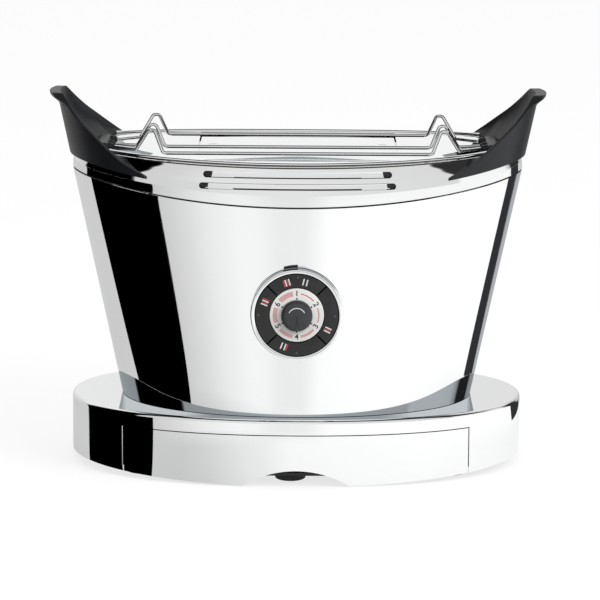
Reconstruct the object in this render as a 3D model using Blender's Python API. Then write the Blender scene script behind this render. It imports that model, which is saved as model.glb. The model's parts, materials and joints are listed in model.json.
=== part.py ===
"""An electric two-slot toaster: a tapered oval body on a wide oval base with a crumb drawer.

Metres, +Z up. The front faces -Y, +X is on the right seen from the front, and the origin lies on
the table under the middle of the toaster. The shape of the outer skin comes from a few driving
sizes: the oval of the base, the oval where the body meets it, the seam round the body, and the rim.
"""

import math

import bmesh
import bpy
from mathutils import Matrix, Vector

TURN = 2 * math.pi
QUARTER = math.pi / 2

# Clearances shared by every fit
GAP = 0.0003
OVERRUN = 0.006

# How finely the curves are divided
PLAN_STEPS = 64
ROUND_STEPS = 36
SMALL_STEPS = 16
PANEL_STEPS = 30
CORNER_STEPS = 3
EDGE_STEPS = 4
HANDLE_STEPS = 28
STRAIGHT_ANGLE = 0.001
SHARP_EDGE_ANGLE = math.radians(35)

# Base housing, an oval hood that stands over the crumb drawer
BASE_HALF_LENGTH = 0.165
BASE_HALF_DEPTH = 0.1055
BASE_PLAN_POWER = 2.2
BASE_HEIGHT = 0.049
BASE_WALL = 0.002
BASE_EDGE_RADIUS = 0.0028
SKIRT_CLEARANCE = 0.0005
SKIRT_RISE = 0.0072
CRUMB_OPENING_HALF_LENGTH = 0.095
CRUMB_OPENING_HALF_DEPTH = 0.046

# Bottom plate and feet
PLATE_BOTTOM = 0.0082
PLATE_THICKNESS = 0.0023
FOOT_RADIUS = 0.011
FOOT_WAIST = 0.009
FOOT_END_INSET = 0.053
FOOT_SIDE_INSET = 0.0495
MIDDLE_FOOT_X = -0.004
MIDDLE_FOOT_INSET = 0.0295

# Crumb drawer
DRAWER_HALF_LENGTH = 0.1241
DRAWER_GAP = 0.0007
DRAWER_TOP = 0.0375
NOTCH_HALF_CHORD = 0.039
NOTCH_HEIGHT = 0.0116
FRAME_HALF_LENGTH = 0.106
FRAME_BACK = -0.064
FRAME_BOTTOM = 0.0128
FRAME_TOP = 0.034
TRAY_HALF_LENGTH = 0.104
TRAY_BACK = 0.062
TRAY_HEIGHT = 0.015
TRAY_WALL = 0.0012
RUNNER_WIDTH = 0.004
RUNNER_HEIGHT = 0.012
RUNNER_FRONT = -0.058

# Body shell, from the base up to the seam
BODY_PLAN_POWER = 2.1
BODY_FOOT_HALF_LENGTH = 0.1283
BODY_FOOT_HALF_DEPTH = 0.095
SEAM_END_SETBACK = 0.001
SEAM_HALF_DEPTH = 0.098
SEAM_LOW = 0.2005
SEAM_RISE = 0.0165
SHELL_WALL = 0.0012
GASKET_THICKNESS = 0.0006
GASKET_INSET = 0.0007
BODY_LEVEL_SHARES = (0.0, 1.0)

# Top cover, from the seam up to the rim of the opening
COVER_LEAN_LENGTH = 0.007
COVER_LEAN_DEPTH = 0.008
RIM_LOW = 0.2282
RIM_RISE = 0.0047
COVER_LEAN_SHARES = ((0.0, 0.0), (0.3, 0.04), (0.55, 0.22), (0.8, 0.6), (1.0, 1.0))
RIM_BAND_RADIUS = 0.0015
RIM_BAND_SETBACK = 0.0215

# Vent slots of the cover, the upper one first
VENT_HEIGHTS = (0.223, 0.2152)
VENT_HALF_LENGTHS = (0.0668, 0.0697)
VENT_OPENING = 0.0044
VENT_CUT_DEPTH = 0.03
INSERT_THICKNESS = 0.001
INSERT_HALF_LENGTH = 0.073
INSERT_LOW_SHARE = 0.36
INSERT_HIGH_SHARE = 0.9

# Handles, two wings that rise from the ends of the cover
HANDLE_STAND_OUT = 0.0013
HANDLE_SPAN = 0.054
HANDLE_POINT_HEIGHT = 0.0015
HANDLE_SEAM_DROP = 0.0100
HANDLE_TIP_RISE = 0.0438
HANDLE_CLIMB_SHARES = (
    (0.0, 0.0),
    (0.19, 0.105),
    (0.31, 0.18),
    (0.5, 0.35),
    (0.7, 0.557),
    (0.82, 0.694),
    (0.92, 0.845),
    (1.0, 1.0),
)
HANDLE_TIP_START_SHARE = 0.945
HANDLE_CONE_SLOPE = 0.213
HANDLE_EDGE_WIDTH = 0.0026
LIP_DEPTH = 0.009
LIP_FLARE = 0.0052
LIP_FULL_SHARE = 0.8
HANDLE_TOE = 0.0012
HANDLE_TOE_REACH = 0.003
HANDLE_TOE_START = 0.02
HANDLE_TOE_END = 0.015
HANDLE_LEVEL_SHARES = (0.0, 0.4, 0.76, 0.83, 0.89, 0.95, 1.0)
HANDLE_SCOOP_SHARES = (0.0, 0.3, 0.6, 0.85)
HANDLE_UNDERSIDE_SHARES = (0.0, 0.4, 0.7, 1.0)

# Cradles inside the cover, under the handles
CRADLE_LENGTH = 0.0198
CRADLE_BOTTOM = 0.226
CRADLE_TOP = 0.2312
CRADLE_FLOOR = 0.003
CRADLE_WALL = 0.003
CRADLE_STEPS = 16

# Warming rack that lies over the slots
RACK_WIRE_RADIUS = 0.0013
RACK_HEIGHT = 0.2326
RACK_SPREAD = 0.05
RACK_END_SPREAD = 0.019
RACK_ROW_SHARES = (("rack_wire_front", -1), ("rack_wire_middle", -0.32), ("rack_wire_back", 1))
RACK_STRAIGHT_SETBACK = 0.0407
RACK_PEAK_SETBACK = 0.0322
RACK_PEAK_WIDTH = 0.0022
RACK_PEAK_RISE = 0.0155
RACK_PEAK_SIDE_SHARES = (0.5, 0.4)
RACK_FOOT_SETBACK = 0.0207
RACK_END_STRAIGHT = 0.005
RACK_BEND_RADIUS = 0.003
RACK_END_LENGTH = 0.0085
RACK_END_HALF_WIDTH = 0.026
RACK_END_HEIGHT = 0.0068
RACK_END_ROUNDING = 0.002

# Slot deck and toasting chamber
DECK_BOTTOM = 0.206
DECK_THICKNESS = 0.0015
SLOT_Y = 0.025
SLOT_HALF_WIDTH = 0.018
SLOT_END_MARGIN = 0.006
CHAMBER_END_SPACE = 0.0223
CHAMBER_HALF_DEPTH = 0.05
CHAMBER_WALL = 0.0008
CARD_THICKNESS = 0.001
CARD_BOTTOM = 0.068
CARD_TOP = 0.196
CARD_INSET = 0.0035
GUARD_THICKNESS = 0.002
GUARD_CLEARANCE = 0.0006
GUARD_BAR = 0.0024
GUARD_WINDOWS = 7
GUARD_BOTTOM = 0.07
GUARD_TOP = 0.2
REST_BOTTOM = 0.0625
REST_THICKNESS = 0.0024
REST_HALF_WIDTH = 0.015
REST_WINDOWS = 9

# Round control in the front of the body
DIAL_HEIGHT = 0.125
BEZEL_RADIUS = 0.03285
BEZEL_WALL = 0.0016
BEZEL_FACE_Y = -0.1046
BEZEL_FLANGE_RADIUS = 0.037
BEZEL_FLANGE_Y = -0.0921
BEZEL_FLANGE_THICKNESS = 0.0014
BEZEL_EDGE = 0.0007
BUTTON_INNER_RADIUS = 0.0212
BUTTON_DEPTH = 0.0092
BUTTON_SETBACK = 0.0004
BUTTON_SPLIT = 0.0008
BUTTON_TRAVEL = 0.0012
BUTTON_STEPS = 12
CARRIER_RADIUS = 0.036
CARRIER_THICKNESS = 0.002
HUB_RADIUS = 0.0209
HUB_BORE = 0.014
FACE_RADIUS = 0.0209
FACE_THICKNESS = 0.0012
FACE_HOLE = 0.0034
BOARD_RADIUS = 0.0305
BOARD_THICKNESS = 0.0016
SWITCH_HALF_WIDTH = 0.003
SWITCH_RADIUS_PLACE = 0.0258
KNOB_RADIUS = 0.01115
KNOB_FRONT_Y = -0.111
KNOB_RIM_DEPTH = 0.0028
KNOB_CROWN_SHARES = ((1.0, 0.0), (0.93, 0.42), (0.76, 0.74), (0.5, 0.92), (0.2, 1.0))
KNOB_BORE_DEPTH = 0.004
POINTER_WIDTH = 0.0017
POINTER_DEPTH = 0.0011
SHAFT_RADIUS = 0.0029
TIMER_HALF_WIDTH = 0.009
TIMER_DEPTH = 0.01

# Power parts behind the chamber
BRACKET_SPACE = 0.01
BRACKET_THICKNESS = 0.0012
BRACKET_HALF_LENGTH = 0.045
BRACKET_FOOT_DEPTH = 0.016
BRACKET_TOP = 0.122
POWER_BOARD_THICKNESS = 0.0016
POWER_BOARD_HALF_LENGTH = 0.042
POWER_BOARD_BOTTOM = 0.062
POWER_BOARD_TOP = 0.12
RELAY_HALF_LENGTH = 0.012
RELAY_DEPTH = 0.015
RELAY_BOTTOM = 0.07
RELAY_TOP = 0.088
CUTOUT_RADIUS = 0.008
CUTOUT_THICKNESS = 0.005
CUTOUT_HEIGHT = 0.15

# Cord gland in the back of the base
GLAND_HEIGHT = 0.026
GLAND_LENGTH = 0.0055
GLAND_RADIUS = 0.006
GLAND_FLANGE_RADIUS = 0.0092
GLAND_FLANGE_THICKNESS = 0.0022
GLAND_BORE = 0.0036
GLAND_TAIL = 0.006

# Lengths worked out from the ones above
PLATE_TOP = PLATE_BOTTOM + PLATE_THICKNESS
SEAM_GROOVE = GASKET_THICKNESS + 2 * GAP
SEAM_END = SEAM_LOW + SEAM_RISE
SEAM_HALF_LENGTH = BASE_HALF_LENGTH - SEAM_END_SETBACK
RIM_HALF_LENGTH = SEAM_HALF_LENGTH - COVER_LEAN_LENGTH
RIM_HALF_DEPTH = SEAM_HALF_DEPTH - COVER_LEAN_DEPTH
HANDLE_HALF_DEPTH = SEAM_HALF_DEPTH + HANDLE_STAND_OUT
HANDLE_POINT_X = SEAM_HALF_LENGTH - HANDLE_SPAN
HANDLE_TIP_HEIGHT = RIM_LOW + HANDLE_TIP_RISE
LIP_START = HANDLE_TIP_HEIGHT - LIP_DEPTH
CRADLE_FRONT = RIM_HALF_LENGTH - CRADLE_LENGTH
RACK_HALF_LENGTH = CRADLE_FRONT - RACK_STRAIGHT_SETBACK
RACK_PEAK_X = CRADLE_FRONT - RACK_PEAK_SETBACK
RACK_FOOT_X = CRADLE_FRONT - RACK_FOOT_SETBACK
CHAMBER_HALF_LENGTH = BODY_FOOT_HALF_LENGTH - CHAMBER_END_SPACE
SLOT_HALF_LENGTH = CHAMBER_HALF_LENGTH - SLOT_END_MARGIN
BRACKET_Y = CHAMBER_HALF_DEPTH + BRACKET_SPACE
BUTTON_OUTER_RADIUS = BEZEL_RADIUS - BEZEL_WALL - GAP
BUTTON_FACE_Y = BEZEL_FACE_Y + BUTTON_SETBACK
BUTTON_BACK_Y = BUTTON_FACE_Y + BUTTON_DEPTH
FLANGE_BACK_Y = BEZEL_FLANGE_Y + BEZEL_FLANGE_THICKNESS
CARRIER_FRONT_Y = FLANGE_BACK_Y + GAP
CARRIER_BACK_Y = CARRIER_FRONT_Y + CARRIER_THICKNESS
BOARD_BACK_Y = CARRIER_FRONT_Y - GAP
BOARD_FRONT_Y = BOARD_BACK_Y - BOARD_THICKNESS
SWITCH_FRONT_Y = BUTTON_BACK_Y + BUTTON_TRAVEL + GAP
FACE_FRONT_Y = BUTTON_FACE_Y
FACE_BACK_Y = FACE_FRONT_Y + FACE_THICKNESS
KNOB_BACK_Y = FACE_FRONT_Y - GAP

BUTTON_NAMES = ("right", "top", "left", "bottom")

CHROME = ((0.86, 0.87, 0.88), 0.05, 1.0)
STEEL = ((0.62, 0.63, 0.64), 0.3, 1.0)
BLACK_PLASTIC = ((0.03, 0.031, 0.034), 0.42, 0.0)
GLOSS_BLACK = ((0.012, 0.012, 0.014), 0.18, 0.0)
DARK_GREY = ((0.07, 0.07, 0.078), 0.4, 0.0)
CREAM = ((0.83, 0.81, 0.76), 0.45, 0.0)
RUBBER = ((0.02, 0.02, 0.02), 0.8, 0.0)
MICA = ((0.55, 0.47, 0.36), 0.6, 0.0)
BOARD_GREEN = ((0.03, 0.16, 0.07), 0.5, 0.0)


def mix(low, high, share):
    return low + (high - low) * share


def from_table(table, share):
    """The value that a table of pairs gives at this share, straight between its rows."""
    for (left, low), (right, high) in zip(table, table[1:]):
        if share <= right:
            return mix(low, high, (share - left) / (right - left))
    return table[-1][1]


def clear_scene():
    for thing in list(bpy.data.objects):
        bpy.data.objects.remove(thing, do_unlink=True)


def finish(thing, look):
    """Gives an object its own material and links it to the scene."""
    colour, roughness, metallic = look
    material = bpy.data.materials.new(thing.name + "_finish")
    material.use_nodes = True
    shader = material.node_tree.nodes["Principled BSDF"]
    shader.inputs["Base Color"].default_value = (*colour, 1.0)
    shader.inputs["Roughness"].default_value = roughness
    shader.inputs["Metallic"].default_value = metallic
    thing.data.materials.append(material)
    bpy.context.scene.collection.objects.link(thing)
    return thing


def mesh_object(name, shape, look, smooth=True):
    bmesh.ops.recalc_face_normals(shape, faces=shape.faces)
    mesh = bpy.data.meshes.new(name)
    shape.to_mesh(mesh)
    shape.free()
    if smooth:
        mesh.shade_smooth()
        mesh.set_sharp_from_angle(angle=SHARP_EDGE_ANGLE)
    return finish(bpy.data.objects.new(name, mesh), look)


def loft(name, rings, look, closed=False, smooth=True):
    """Skins rings of equal point count. The end rings are capped or, when closed, joined."""
    shape = bmesh.new()
    loops = [[shape.verts.new(point) for point in ring] for ring in rings]
    pairs = list(zip(loops, loops[1:]))
    if closed:
        pairs.append((loops[-1], loops[0]))
    for first, second in pairs:
        for i in range(len(first)):
            j = (i + 1) % len(first)
            shape.faces.new((first[i], first[j], second[j], second[i]))
    if not closed:
        shape.faces.new(list(reversed(loops[0])))
        shape.faces.new(loops[-1])
    return mesh_object(name, shape, look, smooth)


def prism(name, outline, direction, low, high, look):
    """Extrudes an outline of pairs along X, Y or Z between two places."""
    def placed(pair, along):
        first, second = pair
        if direction == "X":
            return Vector((along, first, second))
        if direction == "Y":
            return Vector((first, along, second))
        return Vector((first, second, along))

    rings = [[placed(pair, along) for pair in outline] for along in (low, high)]
    return loft(name, rings, look, smooth=False)


def block(name, low, high, look):
    """A box between two opposite corners."""
    outline = [(low[0], low[1]), (high[0], low[1]), (high[0], high[1]), (low[0], high[1])]
    return prism(name, outline, "Z", low[2], high[2], look)


def circle(radius, steps):
    turns = [TURN * step / steps for step in range(steps)]
    return [(radius * math.cos(turn), radius * math.sin(turn)) for turn in turns]


def turned(name, profile, centre, look, axis="Y", steps=ROUND_STEPS, closed=False):
    """Turns a profile of (radius, place along the axis) round an axis through the centre."""
    rings = []
    for radius, along in profile:
        offset = Vector((0, along, 0)) if axis == "Y" else Vector((0, 0, along))
        ring = []
        for first, second in circle(radius, steps):
            side = Vector((first, 0, second)) if axis == "Y" else Vector((first, second, 0))
            ring.append(Vector(centre) + offset + side)
        rings.append(ring)
    return loft(name, rings, look, closed)


def wire(name, points, radius, look):
    """A round wire along a line of points, with capped ends."""
    curve = bpy.data.curves.new(name, "CURVE")
    curve.dimensions = "3D"
    curve.bevel_depth = radius
    curve.bevel_resolution = 2
    curve.use_fill_caps = True
    spline = curve.splines.new("POLY")
    spline.points.add(len(points) - 1)
    for target, point in zip(spline.points, points):
        target.co = (*point, 1.0)
    return finish(bpy.data.objects.new(name, curve), look)


def rounded(corners, radius):
    """The line through these corners, with each inner corner made an arc."""
    path = [corners[0]]
    for before, corner, after in zip(corners, corners[1:], corners[2:]):
        back = (before - corner).normalized()
        on = (after - corner).normalized()
        half = back.angle(on) / 2
        if QUARTER - half < STRAIGHT_ANGLE:
            path.append(corner)
            continue
        reach = radius / math.tan(half)
        centre = corner + (back + on).normalized() * radius / math.sin(half)
        start = corner + back * reach - centre
        end = corner + on * reach - centre
        swing = start.angle(end)
        for step in range(CORNER_STEPS + 1):
            share = step / CORNER_STEPS
            arm = start * math.sin(swing * (1 - share)) + end * math.sin(swing * share)
            path.append(centre + arm / math.sin(swing))
    path.append(corners[-1])
    return path


def set_origin(thing, point):
    """Moves an object's origin to a point, with its shape left where it is."""
    thing.data.transform(Matrix.Translation(-Vector(point)))
    thing.location = point
    return thing


def combine(thing, other, operation):
    """Cuts or adds another object, which then stays only as a hidden helper."""
    modifier = thing.modifiers.new(operation.lower() + "_" + other.name, "BOOLEAN")
    modifier.operation = operation
    modifier.object = other
    other.hide_render = True
    other.display_type = "WIRE"


def cut(thing, cutter):
    combine(thing, cutter, "DIFFERENCE")


def round_edges(thing, width, segments=2):
    bevel = thing.modifiers.new("edge_rounding", "BEVEL")
    bevel.width = width
    bevel.segments = segments
    bevel.limit_method = "ANGLE"


def plan_point(half_length, half_depth, power, turn):
    """A point of an oval whose sides follow a power curve."""
    along, across = math.cos(turn), math.sin(turn)
    x = half_length * math.copysign(abs(along) ** (2 / power), along)
    y = half_depth * math.copysign(abs(across) ** (2 / power), across)
    return x, y


def plan_depth(half_length, half_depth, power, x):
    """How far from the middle line such an oval lies at this x."""
    return half_depth * (1 - (abs(x) / half_length) ** power) ** (1 / power)


def plan_turn(half_length, power, x):
    """The turn at which such an oval reaches this x, on its back half."""
    return math.acos(math.copysign((abs(x) / half_length) ** (power / 2), x))


def oval(half_length, half_depth, power, height):
    """A ring of points round an oval, at a height or at a height worked out from x."""
    ring = []
    for step in range(PLAN_STEPS):
        x, y = plan_point(half_length, half_depth, power, TURN * step / PLAN_STEPS)
        ring.append(Vector((x, y, height(x) if callable(height) else height)))
    return ring


def base_oval(inset, height):
    return oval(BASE_HALF_LENGTH - inset, BASE_HALF_DEPTH - inset, BASE_PLAN_POWER, height)


def base_depth(inset, x):
    return plan_depth(BASE_HALF_LENGTH - inset, BASE_HALF_DEPTH - inset, BASE_PLAN_POWER, x)


def skirt_height(x):
    return SKIRT_CLEARANCE + SKIRT_RISE * (x / BASE_HALF_LENGTH) ** 2


def seam_height(x):
    return SEAM_LOW + SEAM_RISE * (x / SEAM_HALF_LENGTH) ** 2


def rim_height(x):
    return RIM_LOW + RIM_RISE * (x / RIM_HALF_LENGTH) ** 2


def body_point(turn, share, inset=0.0):
    """A point of the body's skin, from its foot (share 0) to the seam (share 1)."""
    half_length = mix(BODY_FOOT_HALF_LENGTH, SEAM_HALF_LENGTH, share) - inset
    half_depth = mix(BODY_FOOT_HALF_DEPTH, SEAM_HALF_DEPTH, share) - inset
    x, y = plan_point(half_length, half_depth, BODY_PLAN_POWER, turn)
    full = SEAM_HALF_LENGTH / mix(BODY_FOOT_HALF_LENGTH, SEAM_HALF_LENGTH, share)
    top = seam_height(x * full) - SEAM_GROOVE / 2
    return Vector((x, y, mix(BASE_HEIGHT + GAP, top, share)))


def cover_point(turn, share, inset=0.0):
    """A point of the cover's skin, from the seam (share 0) to the rim (share 1)."""
    lean = from_table(COVER_LEAN_SHARES, share)
    half_length = mix(SEAM_HALF_LENGTH, RIM_HALF_LENGTH, lean) - inset
    half_depth = mix(SEAM_HALF_DEPTH, RIM_HALF_DEPTH, lean) - inset
    x, y = plan_point(half_length, half_depth, BODY_PLAN_POWER, turn)
    return Vector((x, y, mix(seam_height(x) + SEAM_GROOVE / 2, rim_height(x), share)))


def plan_turns():
    return [TURN * step / PLAN_STEPS for step in range(PLAN_STEPS)]


def make_base_shell():
    shell_rings = [
        base_oval(BASE_WALL, BASE_HEIGHT - BASE_WALL),
        base_oval(BASE_WALL, skirt_height),
        base_oval(0, skirt_height),
    ]
    for step in range(EDGE_STEPS + 1):
        turn = QUARTER * step / EDGE_STEPS
        inset = BASE_EDGE_RADIUS * (1 - math.cos(turn))
        height = BASE_HEIGHT - BASE_EDGE_RADIUS * (1 - math.sin(turn))
        shell_rings.append(base_oval(inset, height))
    shell = loft("base_shell", shell_rings, CHROME)
    opening = block(
        "crumb_opening_cutter",
        (-CRUMB_OPENING_HALF_LENGTH, -CRUMB_OPENING_HALF_DEPTH, BASE_HEIGHT - BASE_WALL - OVERRUN),
        (CRUMB_OPENING_HALF_LENGTH, CRUMB_OPENING_HALF_DEPTH, BASE_HEIGHT + OVERRUN),
        STEEL,
    )
    cut(shell, opening)
    half = DRAWER_HALF_LENGTH + DRAWER_GAP
    wall_at_side = base_depth(BASE_WALL, half)
    doorway = block(
        "doorway_cutter",
        (-half, -BASE_HALF_DEPTH - OVERRUN, -OVERRUN),
        (half, -wall_at_side + OVERRUN, DRAWER_TOP + DRAWER_GAP),
        STEEL,
    )
    cut(shell, doorway)
    hole = turned(
        "gland_hole_cutter",
        [(GLAND_RADIUS + GAP, -OVERRUN), (GLAND_RADIUS + GAP, OVERRUN)],
        (0, BASE_HALF_DEPTH, GLAND_HEIGHT),
        STEEL,
        steps=SMALL_STEPS,
    )
    cut(shell, hole)
    return shell


def make_base_plate():
    inset = BASE_WALL + GAP
    rings = [base_oval(inset, PLATE_BOTTOM), base_oval(inset, PLATE_TOP)]
    return loft("base_plate", rings, BLACK_PLASTIC, smooth=False)


def make_feet():
    foot_x, foot_y = BASE_HALF_LENGTH - FOOT_END_INSET, BASE_HALF_DEPTH - FOOT_SIDE_INSET
    places = {
        "foot_front_left": (-foot_x, -foot_y),
        "foot_front_right": (foot_x, -foot_y),
        "foot_back_left": (-foot_x, foot_y),
        "foot_back_right": (foot_x, foot_y),
        "foot_front_middle": (MIDDLE_FOOT_X, MIDDLE_FOOT_INSET - BASE_HALF_DEPTH),
    }
    profile = [(FOOT_WAIST, 0), (FOOT_RADIUS, FOOT_RADIUS - FOOT_WAIST)]
    profile.append((FOOT_RADIUS, PLATE_BOTTOM - GAP))
    for name, (x, y) in places.items():
        turned(name, profile, (x, y, 0), RUBBER, axis="Z", steps=SMALL_STEPS)


def make_drawer_front():
    rings = []
    for step in range(PANEL_STEPS + 1):
        x = mix(-DRAWER_HALF_LENGTH, DRAWER_HALF_LENGTH, step / PANEL_STEPS)
        outer, inner = -base_depth(0, x), -base_depth(BASE_WALL, x)
        low = skirt_height(x)
        corners = ((outer, low), (outer, DRAWER_TOP), (inner, DRAWER_TOP), (inner, low))
        rings.append([Vector((x, y, z)) for y, z in corners])
    front = loft("drawer_front", rings, CHROME)
    notch_radius = (NOTCH_HALF_CHORD**2 + NOTCH_HEIGHT**2) / (2 * NOTCH_HEIGHT)
    centre = SKIRT_CLEARANCE + NOTCH_HEIGHT - notch_radius
    notch = turned(
        "notch_cutter",
        [(notch_radius, -BASE_HALF_DEPTH - OVERRUN), (notch_radius, -BASE_HALF_DEPTH / 2)],
        (0, 0, centre),
        STEEL,
        steps=PLAN_STEPS + ROUND_STEPS,
    )
    cut(front, notch)


def make_drawer_frame():
    inset = BASE_WALL + GAP
    outline = []
    for step in range(PANEL_STEPS + 1):
        x = mix(-FRAME_HALF_LENGTH, FRAME_HALF_LENGTH, step / PANEL_STEPS)
        outline.append((x, -base_depth(inset, x)))
    outline += [(FRAME_HALF_LENGTH, FRAME_BACK), (-FRAME_HALF_LENGTH, FRAME_BACK)]
    prism("drawer_frame", outline, "Z", FRAME_BOTTOM, FRAME_TOP, BLACK_PLASTIC)


def make_crumb_tray():
    front, bottom = FRAME_BACK + GAP, PLATE_TOP + GAP

    def ring(inset, height):
        left, right = -TRAY_HALF_LENGTH + inset, TRAY_HALF_LENGTH - inset
        near, far = front + inset, TRAY_BACK - inset
        corners = ((left, near), (right, near), (right, far), (left, far))
        return [Vector((x, y, height)) for x, y in corners]

    top = bottom + TRAY_HEIGHT
    rings = [ring(0, bottom), ring(0, top), ring(TRAY_WALL, top), ring(TRAY_WALL, bottom + TRAY_WALL)]
    loft("crumb_tray", rings, STEEL, smooth=False)


def make_drawer_runners():
    inner, bottom = TRAY_HALF_LENGTH + GAP, PLATE_TOP + GAP
    for side, name in ((-1, "drawer_runner_left"), (1, "drawer_runner_right")):
        edges = sorted((side * inner, side * (inner + RUNNER_WIDTH)))
        low = (edges[0], RUNNER_FRONT, bottom)
        high = (edges[1], TRAY_BACK, bottom + RUNNER_HEIGHT)
        block(name, low, high, BLACK_PLASTIC)


def skin_ring(point, share, inset):
    return [point(turn, share, inset) for turn in plan_turns()]


def make_body_shell():
    rings = [skin_ring(body_point, share, 0) for share in BODY_LEVEL_SHARES]
    rings += [skin_ring(body_point, share, SHELL_WALL) for share in reversed(BODY_LEVEL_SHARES)]
    shell = loft("body_shell", rings, CHROME, closed=True)
    reach = BODY_FOOT_HALF_DEPTH / 2
    hole = turned(
        "dial_hole_cutter",
        [(BEZEL_RADIUS + GAP, -SEAM_HALF_DEPTH - OVERRUN), (BEZEL_RADIUS + GAP, -reach)],
        (0, 0, DIAL_HEIGHT),
        STEEL,
        steps=ROUND_STEPS,
    )
    cut(shell, hole)


def make_seam_gasket():
    rings = []
    half = GASKET_THICKNESS / 2
    outer, inner = GASKET_INSET, SHELL_WALL
    for inset, lift in ((outer, -half), (outer, half), (inner, half), (inner, -half)):
        ring = oval(
            SEAM_HALF_LENGTH - inset,
            SEAM_HALF_DEPTH - inset,
            BODY_PLAN_POWER,
            lambda x, lift=lift: seam_height(x) + lift,
        )
        rings.append(ring)
    loft("seam_gasket", rings, RUBBER, closed=True)


def vent_outline(half_length, height):
    """A slot with round ends, in X and Z."""
    radius = VENT_OPENING / 2
    outline = []
    for side, start in ((1, -QUARTER), (-1, QUARTER)):
        for step in range(CORNER_STEPS + 1):
            turn = start + math.pi * step / CORNER_STEPS
            x = side * (half_length - radius) + radius * math.cos(turn)
            outline.append((x, height + radius * math.sin(turn)))
    return outline


def make_top_cover():
    shares = [row[0] for row in COVER_LEAN_SHARES]
    rings = [skin_ring(cover_point, share, 0) for share in shares]
    rings += [skin_ring(cover_point, share, SHELL_WALL) for share in reversed(shares)]
    cover = loft("top_cover", rings, CHROME, closed=True)
    outside, inside = SEAM_HALF_DEPTH + OVERRUN, SEAM_HALF_DEPTH - VENT_CUT_DEPTH
    for row, (height, half_length) in enumerate(zip(VENT_HEIGHTS, VENT_HALF_LENGTHS)):
        for side, face in ((-1, "front"), (1, "back")):
            low, high = sorted((side * outside, side * inside))
            name = f"vent_cutter_{face}_{row}"
            cut(cover, prism(name, vent_outline(half_length, height), "Y", low, high, STEEL))


def make_rim_bands():
    inset = SHELL_WALL / 2
    half_length, half_depth = RIM_HALF_LENGTH - inset, RIM_HALF_DEPTH - inset
    start = plan_turn(half_length, BODY_PLAN_POWER, RIM_HALF_LENGTH - RIM_BAND_SETBACK)
    for side, name in ((-1, "rim_band_front"), (1, "rim_band_back")):
        points = []
        for step in range(PANEL_STEPS + 1):
            turn = side * mix(start, math.pi - start, step / PANEL_STEPS)
            x, y = plan_point(half_length, half_depth, BODY_PLAN_POWER, turn)
            points.append(Vector((x, y, rim_height(x) + GAP + RIM_BAND_RADIUS)))
        wire(name, points, RIM_BAND_RADIUS, CHROME)


def make_vent_inserts():
    outer = SHELL_WALL + GAP
    inner = outer + INSERT_THICKNESS
    corners = (
        (INSERT_LOW_SHARE, outer),
        (INSERT_HIGH_SHARE, outer),
        (INSERT_HIGH_SHARE, inner),
        (INSERT_LOW_SHARE, inner),
    )
    start = plan_turn(RIM_HALF_LENGTH, BODY_PLAN_POWER, INSERT_HALF_LENGTH)
    for side, name in ((-1, "vent_insert_front"), (1, "vent_insert_back")):
        rings = []
        for step in range(PANEL_STEPS + 1):
            turn = side * mix(start, math.pi - start, step / PANEL_STEPS)
            rings.append([cover_point(turn, share, inset) for share, inset in corners])
        loft(name, rings, DARK_GREY)


def handle_low(x):
    return seam_height(x) + HANDLE_SEAM_DROP


def handle_top(x):
    """The height of the wing's edge, which climbs from the point to the tip."""
    end = SEAM_HALF_LENGTH + HANDLE_CONE_SLOPE * HANDLE_SEAM_DROP
    point = handle_low(HANDLE_POINT_X) + HANDLE_POINT_HEIGHT
    share = (abs(x) - HANDLE_POINT_X) / (end - HANDLE_POINT_X) / HANDLE_TIP_START_SHARE
    return mix(point, HANDLE_TIP_HEIGHT, from_table(HANDLE_CLIMB_SHARES, max(share, 0)))


def handle_outer(turn, height, inset=0.0, flared=True):
    """A point of the wing's outer skin, which carries on the taper of the body."""
    half_length = SEAM_HALF_LENGTH + HANDLE_CONE_SLOPE * (height - SEAM_END) - inset
    if flared and height > LIP_START:
        climb = (height - LIP_START) / (HANDLE_TIP_HEIGHT - LIP_START)
        half_length += LIP_FLARE * math.sin(QUARTER * min(climb / LIP_FULL_SHARE, 1)) ** 2
    x, y = plan_point(half_length, HANDLE_HALF_DEPTH - inset, BODY_PLAN_POWER, turn)
    return Vector((x, y, height))


def handle_section(turn):
    """One slice through the wing: outer skin, edge, scooped inside, toe, underside."""
    end = SEAM_HALF_LENGTH + HANDLE_CONE_SLOPE * HANDLE_SEAM_DROP
    x, _ = plan_point(end, HANDLE_HALF_DEPTH, BODY_PLAN_POWER, turn)
    low, top = handle_low(x), handle_top(x)
    section = [handle_outer(turn, mix(low, top, share)) for share in HANDLE_LEVEL_SHARES]
    seam, rim = cover_point(turn, 0), cover_point(turn, 1)
    low_share = (low - seam.z) / (rim.z - seam.z)
    top_share = min((top - HANDLE_POINT_HEIGHT / 2 - seam.z) / (rim.z - seam.z), 1)
    toe_place = rim.x - RIM_HALF_LENGTH + HANDLE_TOE_START
    toe_share = min(max(toe_place / (HANDLE_TOE_START - HANDLE_TOE_END), 0), 1)
    edge = handle_outer(turn, top, HANDLE_EDGE_WIDTH, flared=False)
    clear = -RIM_BAND_RADIUS - GAP if top_share == 1 else -GAP
    over = cover_point(turn, top_share, mix(clear, HANDLE_TOE_REACH, toe_share))
    foot = over + Vector((0, 0, GAP + HANDLE_TOE * toe_share))
    for share in HANDLE_SCOOP_SHARES:
        point = edge.lerp(foot, share**2)
        point.z = mix(edge.z, foot.z, share)
        section.append(point)
    section.append(foot)
    section.append(over + Vector((0, 0, GAP / 2 + GAP / 2 * toe_share)))
    for share in HANDLE_UNDERSIDE_SHARES:
        under = cover_point(turn, mix(top_share, low_share, share), -GAP)
        under.z += GAP * toe_share * (1 - share)
        section.append(under)
    return section


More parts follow.
